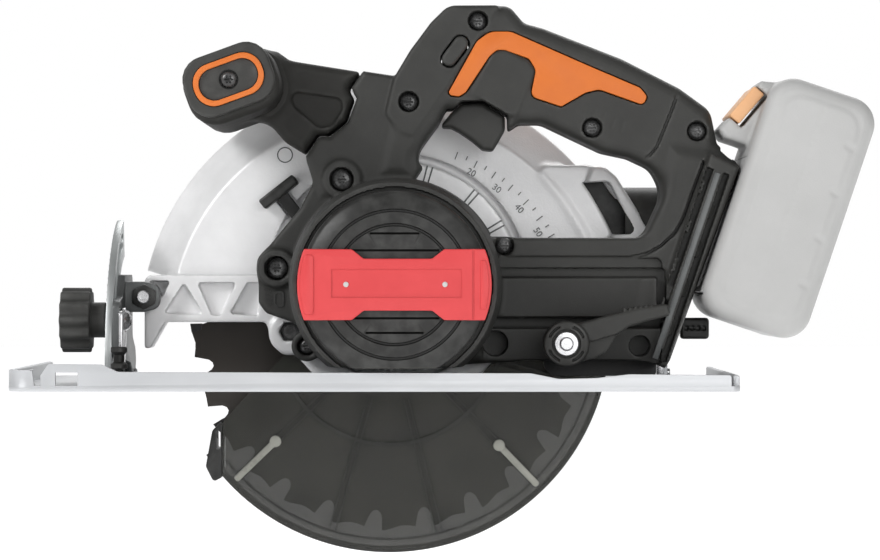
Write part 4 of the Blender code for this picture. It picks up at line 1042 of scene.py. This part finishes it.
def make_lower_guard():
    profile = [(22.4, 38), (99.4, 38), (100.6, 38.3), (101.2, 39.0), (101.4, 40.2), (101.4, 57.4),
               (100.9, 58), (62, 58), (62, 56), (99, 56), (99, 40.6), (98.4, 40), (31, 40), (31, 41.2),
               (22.4, 41.2)]
    guard = swept("guard_shell", profile, ARBOR, 186, 372)
    combine(guard, "UNION", ring("hub", 22.4, 31, 36, 41.2, crosswise(ARBOR), edge=0.4))
    extras = [swept("arc_rib", [(51, 36.8), (52.6, 36.8), (52.6, 37.95), (51, 37.95)], ARBOR, 212, 370),
              swept("rim_rib", [(95.0, 37.3), (95.7, 37.3), (95.7, 37.95), (95.0, 37.95)], ARBOR, 218, 371)]
    for angle in (-136, -106, -76, -46, -16):
        for side in (-1.1, 1.1):
            start, end = [Vector(p) for p in ((31.5, side), (94.8, 1.4 * side))]
            line = spun(strip(start, end, 0.38), angle)
            extras.append(slab(f"rib{angle}{side}", shifted(line, ARBOR), 36.9, 37.95))
    show(gather("guard_ribs", extras), "lower_guard", "rim")
    pegs = []
    for angle in (-136, -46):
        shape = rounded([(*p, 1.3) for p in ray(ARBOR, angle, 71.5, 98, 1.5)])
        pegs.append(slab(f"peg{angle}", shape, 36.3, 37.95, edge=0.4))
        head = circle(ray(ARBOR, angle, 72.5, 73, 0)[0], 2.7)
        pegs.append(slab(f"peg_head{angle}", head, 36.0, 37.95, edge=0.5))
    show(gather("guard_pegs", pegs), "lower_guard", "peg")
    combine(guard, "DIFFERENCE",
            slab("front", [(-130, -76), (-33, 30), (-100, 60), (-180, 0)], 37.6, 70),
            slab("corner", box_corners(-140, -60, -76.4, 40), 20, 80))
    show(guard, "lower_guard", "smoke", "lower_guard")
    edge = [(100.0, 37.9), (101.3, 38.1), (101.5, 39.4), (101.5, 57.6), (101.2, 58.1), (100.0, 58.1),
            (101.2, 57.6), (101.2, 39.4)]
    show(swept("guard_rim", edge, ARBOR, 214, 372), "lower_guard", "rim")
    lip = rounded([(-76.4, -16.5, 1), (-81.2, -21.4, 3), (-84.2, -38, 3), (-80.6, -45, 1.5), (-76.8, -43, 1),
                   (-76.8, -30, 1)])
    bumper = slab("bumper", lip, 37.5, 58.5, edge=0.8)
    combine(bumper, "DIFFERENCE", slab("eye", box_corners(-79.6, -30, -77.4, -21.5, 0.8), 20, 80),
            drum("tooth_path", 94, 45, 51, crosswise(ARBOR), steps=96, edge=0))
    show(bumper, "lower_guard", "black_smooth", "guard_bumper")


# ---------------------------------------------------------------- base and its fittings

def make_base():
    outline = rounded([(-161.6, -66, 10), (151.4, -66, 4), (151.4, 84, 10), (-161.6, 84, 10)], 12)
    window = box_corners(-106, 25, 110, 67, 3)
    sheet = slab("base_sheet", outline, 0, 2.5, "Z", holes=[window], edge=0.4)
    near = rounded([
        (-151.6, 0.5), (-151.6, 9.5, 2), (-150.6, 9.5, 1), (-149.5, 2), (-146.8, 2), (-146.8, 7, 1),
        (-143.5, 11.8, 2), (-121, 11.6, 4), (-114, 8.4, 4), (62, 7.8, 6), (74, 5.4, 8), (90, 5.8, 8),
        (104, 7.4, 8), (147.4, 7, 1), (147.4, 0.5)])
    middle = (-151.6, -56)
    corner = arc(middle, 9.94, 178, 272, 16) + arc(middle, 7.1, 272, 178, 16)
    lips = [
        slab("near_lip", near, -65.94, -63, edge=0.6, segments=3),
        slab("front_lip", box_corners(-161.54, 0.5, -158.6, 9.4, 1), -57, 74, edge=0.6),
        slab("corner_lip", corner, 0.6, 9.2, "Z"),
        slab("rear_lip", box_corners(148.4, 0.5, 151.34, 7, 1), -62, 74, edge=0.5),
        slab("rear_ear", rounded([(41, 1), (55, 1), (54, 8, 2), (51, 11, 3), (44, 11, 3), (42, 8, 2)]),
             125.4, 128, "X", edge=0.4),
        slab("bead_near", box_corners(-95, -50, 100, -46, 1.9), 2, 3.6, "Z", edge=0.6),
        slab("bead_far", box_corners(-120, 74, 120, 78, 1.9), 2, 3.6, "Z", edge=0.6),
    ]
    combine(sheet, "UNION", *lips)
    combine(sheet, "DIFFERENCE", slab("fence_slot", box_corners(-140.6, 2.5, -131, 8.2), -80, -50),
            drum("pin_hole", 2.4, 110, 140, (0, *BEVEL_AXIS), "X", steps=24, edge=0))
    show(sheet, "base", "base", "base_plate")

    inner, outer = BEVEL_SLOT_R - 10, BEVEL_SLOT_R + 7
    tilt = math.degrees(math.atan2(KNOB_AT[1] - BEVEL_AXIS[1], KNOB_AT[0] - BEVEL_AXIS[0]))
    shape = arc(BEVEL_AXIS, outer, 104, 174, 32) + [(-23, 2.8), (54, 2.8), (54, 9), (48, 11)]
    shape += arc(BEVEL_AXIS, inner, 170, 104, 28)
    slot = arc_slot(BEVEL_AXIS, BEVEL_SLOT_R, 3.5, tilt - 46, tilt + 1)
    hole = circle(BEVEL_AXIS, 2.4, 24)
    quadrant = slab("tilt_quadrant", shape, -124, -121, "X", holes=[slot, hole], edge=0.5)
    for k in range(16):
        start = outer - (4.2 if k % 5 == 0 else 2.6)
        line = ray(BEVEL_AXIS, tilt - 3 * k, start, outer - 0.6, 0.25)
        combine(quadrant, "UNION", slab(f"degree_{k}", line, -124.2, -123.6, "X"))
    show(quadrant, "base", "quadrant", "bevel_quadrant")
    for name, low, high in (("bevel_pin_front", -125.5, -116.5), ("bevel_pin_rear", 121.3, 129.5)):
        show(drum(name + "_turned", 2.1, low, high, (0, *BEVEL_AXIS), "X", steps=32), "base", "steel", name)

    wing = [(0, 18.5), (3.2, 18.5), (3.6, 18), (3.6, 16.4), (2.4, 15), (2.4, 12), (3.6, 11), (3.6, 9.2),
            (1.9, 8.4), (1.9, 2.8), (0, 2.8)]
    show(turned("fence_screw", wing, (-116.5, -35, 0), "Z", steps=32), "guide_screw", "black_smooth",
         "guide_screw")


def make_brackets():
    back = rounded([(-24, 14, 3), (30, 10, 4), (40, 3.6), (49, 3.6), (55, 10, 2), (52, 16, 3), (38, 22, 4),
                    (38, 50, 3), (4, 50, 3), (-6, 40, 5), (-22, 38, 4)])
    bracket = slab("tilt_bracket", back, -120.7, -117.7, "X",
                   holes=[circle(KNOB_AT, 3.4, 24), circle(BEVEL_AXIS, 2.4, 24)], edge=0.5)
    ear = rounded([(-118.5, 33.2), (-109.2, 33.2, 4), (-103, 35, 4), (-102.3, 40, 4), (-103, 45.5, 4),
                   (-109.2, 46.9, 4), (-118.5, 46.9)])
    combine(bracket, "UNION", slab("near_ear", ear, 5, 12.4, edge=0.7),
            slab("far_ear", ear, 30.6, 37, edge=0.7))
    combine(bracket, "DIFFERENCE", drum("ear_bore", 4.3, -10, 60, crosswise(PIVOT), steps=32, edge=0))
    show(bracket, "depth_frame", "bracket", "front_bracket")
    skirt = rounded([(-28, 10.4, 1), (-15, 10.4, 1), (-6, 22, 2), (-6, 34, 2), (-28, 34, 2)])
    show(slab("bracket_plate", skirt, -117.3, -115.9, "X", holes=[circle(KNOB_AT, 5.4, 24)], edge=0.3),
         "depth_frame", "steel")
    nut = slab("pivot_nut", arc(PIVOT, 5.9, 30, 330, 5), 1.4, 4.9, edge=0.5)
    show(nut, "depth_frame", "black_smooth")
    pin = [(0, 37.5), (4, 37.5), (4, 4.6), (2.9, 4.6), (2.9, -0.6), (2.5, -1.0), (0, -1.0)]
    pin = turned("pivot_pin", pin, crosswise(PIVOT), steps=32)
    combine(pin, "DIFFERENCE", slab("pin_socket", arc(PIVOT, 1.7, 0, 300, 5), -3, 0.8))
    show(pin, "depth_frame", "steel", "pivot_bolt")
    shank = [(0, -113), (2.2, -113.3), (3.8, -114.2), (5, -116.2), (5, -117.3), (3.1, -117.3), (3.1, -141),
             (0, -141)]
    show(turned("tilt_bolt", shank, (0, *KNOB_AT), "X", steps=32), "depth_frame", "steel", "bevel_bolt")

    at = (0, *KNOB_AT)
    knob = slab("knob_rim", star(KNOB_AT, 14.3, 12.6, 12), -144, -130.8, "X", edge=0.8)
    combine(knob, "DIFFERENCE", drum("knob_bore", 3.5, -150, -120, at, "X", steps=32, edge=0))
    combine(knob, "UNION", ring("knob_hub", 3.5, 7.8, -132, -124.4, at, "X", steps=48, edge=0.5))
    combine(knob, "DIFFERENCE", ring("knob_dish", 5.5, 10.5, -146, -142.6, at, "X", steps=48, edge=0))
    show(knob, "bevel_knob", "black", "bevel_knob")

    radius = math.dist(PIVOT, DEPTH_BOLT)
    low, high = quadrant_angles()
    foot = rounded([(73, 4, 2), (121.8, 4, 2), (121.8, 15, 2), (92, 15, 4), (86, 24), (74, 22)])
    # the dark finish on the quadrant's foot paints the shade under the saw body, seen through the scoop in
    # the base lip
    quadrant = slab("depth_arc", arc_slot(PIVOT, radius, 6.2, low - 3, high), 27.5, 30.5)
    combine(quadrant, "UNION", slab("arc_foot", foot, 27.52, 30.48))
    combine(quadrant, "DIFFERENCE", slab("arc_slot", arc_slot(PIVOT, radius, 3.6, low - 0.4, high), 20, 40))
    show(quadrant, "depth_frame", "dark_steel", "depth_quadrant")
    rear = rounded([(27.5, 3.6), (49, 3.6), (55, 10, 2), (51, 13, 3), (44, 15, 2), (27.5, 15)])
    show(slab("tilt_bracket_rear", rear, 122.1, 125, "X", holes=[circle(BEVEL_AXIS, 2.4, 24)], edge=0.4),
         "depth_frame", "steel", "rear_bracket")


def make_depth_lever():
    x, z = DEPTH_BOLT
    block = Block((x - 14, -49, z - 13), (x + 49, -25, z + 21), 0.6)
    arm = rounded([
        (x + 2, z - 9), (x + 12, z - 6.6, 4), (x + 17.5, z - 3.4, 3), (x + 21.5, z + 3.2, 4),
        (x + 27, z + 7.2, 6), (x + 34, z + 9.4, 8), (x + 45.4, z + 12.2, 1.5), (x + 43.8, z + 17.4, 1.5),
        (x + 30, z + 15, 20),
        (x + 22, z + 13.2, 10), (x + 5, z + 8.6)])
    block.add(plate(arm, -44, -30, 1.6))
    lower = [(x + 8, z - 14), (x + 8, z + 1.0), (x + 12, z + 1.3), (x + 27, z + 5.7), (x + 47, z + 13.2),
             (x + 50, z - 14)]
    block.carve(common(plate(lower, -60, -42.2), plate(arm, -60, -40, grow=2)), 0.5)
    block.add(plate(circle(DEPTH_BOLT, 9.8), -45.8, -27, 1.2), 1.0)
    block.carve(plate(circle(DEPTH_BOLT, 6.2), -60, -44.6), 0.4)
    for start in (20, 110, 200, 290):
        slot = arc(DEPTH_BOLT, 8.3, start, start + 48, 10) + arc(DEPTH_BOLT, 7.3, start + 48, start, 10)
        block.carve(plate(slot, -60, -44.2), 0.4)
    for k in range(6):
        block.add(plate(circle((x + 25.5 + 2.3 * k, z + 14.6 + 0.28 * k), 0.9), -43, -31, 0.4), 0.4)
    block.carve(plate(circle(DEPTH_BOLT, 3.6), -60, 0))
    show(block.skin("lever_moulding", 0.6), "depth_lever", "black", "depth_lever")
    shape = [(0, 34), (6, 34), (6, 31), (3.2, 31), (3.2, -44.9), (5.2, -45.1), (5.2, -46.1), (4.9, -46.5),
             (3.1, -46.6), (2.9, -46.9), (2.9, -47.9), (2.4, -48.4), (0, -48.4)]
    show(turned("depth_bolt_turned", shape, (x, 0, z), steps=40), "saw", "steel", "depth_bolt")


# ---------------------------------------------------------------- key and battery

def make_hex_key():
    key = slab("key_rod", arc((14, 26), 2.3, 0, 300, 5), 110, 140, "X")
    grip = Block((128, 8, 18), (147, 20, 33), 0.5)
    grip.add(plate(box_corners(131.5, 21, 144.5, 30.6, 1.5), 11, 17, 1.2))
    for k in range(4):
        grip.carve(plate(circle((134.2 + 2.6 * k, 26), 0.9), 5, 11.6), 0.4)
    combine(key, "UNION", grip.skin("key_grip"))
    show(key, "hex_key", "black_smooth", "hex_key")


def make_battery():
    block = Block((112, -41, 8), (234, 41, 154), 1.0)
    case = on_rail(box_corners(-16, 1, 94, 50, 12, 10))
    block.add(plate(case, -37.2, 37.2, 7))
    panel = on_rail(box_corners(-9, 8, 87, 43, 9, 10))
    block.add(plate(panel, -38, 38, 0.9), 0.6)
    head = on_rail([(60, 6), (60, -10), (63, -13.4), (67, -11.6), (89, -2.8), (92, 10)])
    block.add(plate(head, -20, 20, 2.5), 2)
    for k in range(5):
        u = 4 + 17 * k
        block.carve(plate(on_rail(box_corners(u, 49, u + 1.6, 53)), -26, 26), 0.8)
    for side in (-1, 1):
        bounds = sorted((side * 37.1, side * 45))
        for k in range(4):
            u = 8 + 21 * k
            block.carve(plate(on_rail(box_corners(u, 40, u + 2.2, 47.5, 1)), *bounds), 0.6)
    block.carve(plate(on_rail(box_corners(-16.5, 25.2, 94.5, 26.0)), -45, -37.35), 0.3)
    block.carve(plate(on_rail(box_corners(-8, -3, 55, 10)), -30, 30), 0.5)
    block.carve(plate(release_outline(0.6, 7), -30, 30), 0.4)
    show(block.skin("battery_shell", 0.5), "battery", "pale", "battery_case")
    button = slab("release_button", release_outline(0, 5.0), -20.2, 20.2, edge=0.8, segments=3)
    show(button, "release", "pale_orange", "battery_release")


def release_outline(grow, depth):
    along = Vector((22, 8.8)).normalized()
    inward = Vector((-along.y, along.x))
    start = Vector((67, -11.6)) + along * (3 - grow)
    end = Vector((67, -11.6)) + along * (20 + grow)
    proud = -0.8 * inward
    return on_rail([start + proud, end + proud, end + inward * depth, start + inward * depth])


make_screws()
make_grip_trim()
make_front_handle()
make_motor_cover()
make_casting()
make_blade()
make_lower_guard()
make_base()
make_brackets()
make_depth_lever()
make_hex_key()
make_battery()


# ---------------------------------------------------------------- stage, lights, camera

def make_stage():
    floor = slab("floor", box_corners(-6000, -4000, 6000, 9000), FLOOR - 2.5, FLOOR, "Z")
    made = bpy.data.materials.new("pale_floor")
    made.use_nodes = True
    tree = made.node_tree
    shader = tree.nodes["Principled BSDF"]
    grain = node(tree, "ShaderNodeTexNoise", {"Scale": 8, "Detail": 2})
    tree.links.new(node(tree, "ShaderNodeTexCoord").outputs["Object"], grain.inputs["Vector"])
    tree.links.new(ramp(tree, grain.outputs["Fac"], [(0.3, 0.93), (0.7, 0.95)]), shader.inputs["Base Color"])
    shader.inputs["Roughness"].default_value = 0.8
    shader.inputs["Specular IOR Level"].default_value = 0.1
    shader.inputs["Emission Color"].default_value = (1, 1, 1, 1)
    shader.inputs["Emission Strength"].default_value = 0.64
    floor.data.materials.append(made)

    world = bpy.data.worlds.new("studio")
    world.use_nodes = True
    tree = world.node_tree
    parts = node(tree, "ShaderNodeSeparateXYZ")
    tree.links.new(node(tree, "ShaderNodeTexCoord").outputs["Generated"], parts.inputs[0])
    glow = ramp(tree, parts.outputs["Y"], [(0.80, 0.40), (0.94, 1.0)])
    tree.links.new(glow, tree.nodes["Background"].inputs["Color"])
    bpy.context.scene.world = world

    def softbox(name, at, towards, size, power):
        lamp = bpy.data.lights.new(name, "AREA")
        lamp.shape = "RECTANGLE"
        lamp.size, lamp.size_y = size
        lamp.energy = power
        made = bpy.data.objects.new(name, lamp)
        bpy.context.scene.collection.objects.link(made)
        made.location = at
        made.rotation_euler = (Vector(towards) - Vector(at)).to_track_quat("-Z", "Y").to_euler()

    centre = (0.0, 0.0, 0.05)
    softbox("key", (-1.15, -0.95, 0.9), centre, (0.6, 0.6), 14)
    softbox("fill", (0.75, -1.2, 0.8), centre, (0.7, 0.6), 2)
    softbox("front", (0.5, -1.5, 0.28), centre, (0.9, 0.5), 4.5)
    softbox("rim", (0.2, 1.0, 0.9), centre, (1.0, 0.5), 7)


def make_camera():
    """A long lens square to the near side, level with the motor, as in the photo."""
    lens = bpy.data.cameras.new("camera")
    lens.lens = 128.4
    lens.sensor_width = 36
    camera = bpy.data.objects.new("camera", lens)
    bpy.context.scene.collection.objects.link(camera)
    camera.location = (0.0233, -1.402, 0.0476)
    camera.rotation_euler = (math.pi / 2, 0, 0)
    bpy.context.scene.camera = camera


make_stage()
make_camera()
bpy.context.scene.view_settings.view_transform = "Standard"

CARRIED = {
    "black_plastic": "black", "grip_rubber": "grip", "orange_plastic": "orange", "red_plastic": "red",
    "cast_alloy": "cast", "base_alloy": "base", "bright_steel": "steel", "dark_steel": "dark_steel",
    "smoked_plastic": "smoke", "coated_steel": "coated", "winding": "copper", "circuit_board": "board",
    "battery_grey": "pale", "battery_accent": "pale_orange", "cell_wrap": "cell",
}
for entry in frame["record"]["subparts"]:
    target = frame["nodes"][entry["node"]]
    target.data.materials.clear()
    target.data.materials.append(FINISHES[CARRIED[entry["material_slot"]]][0])
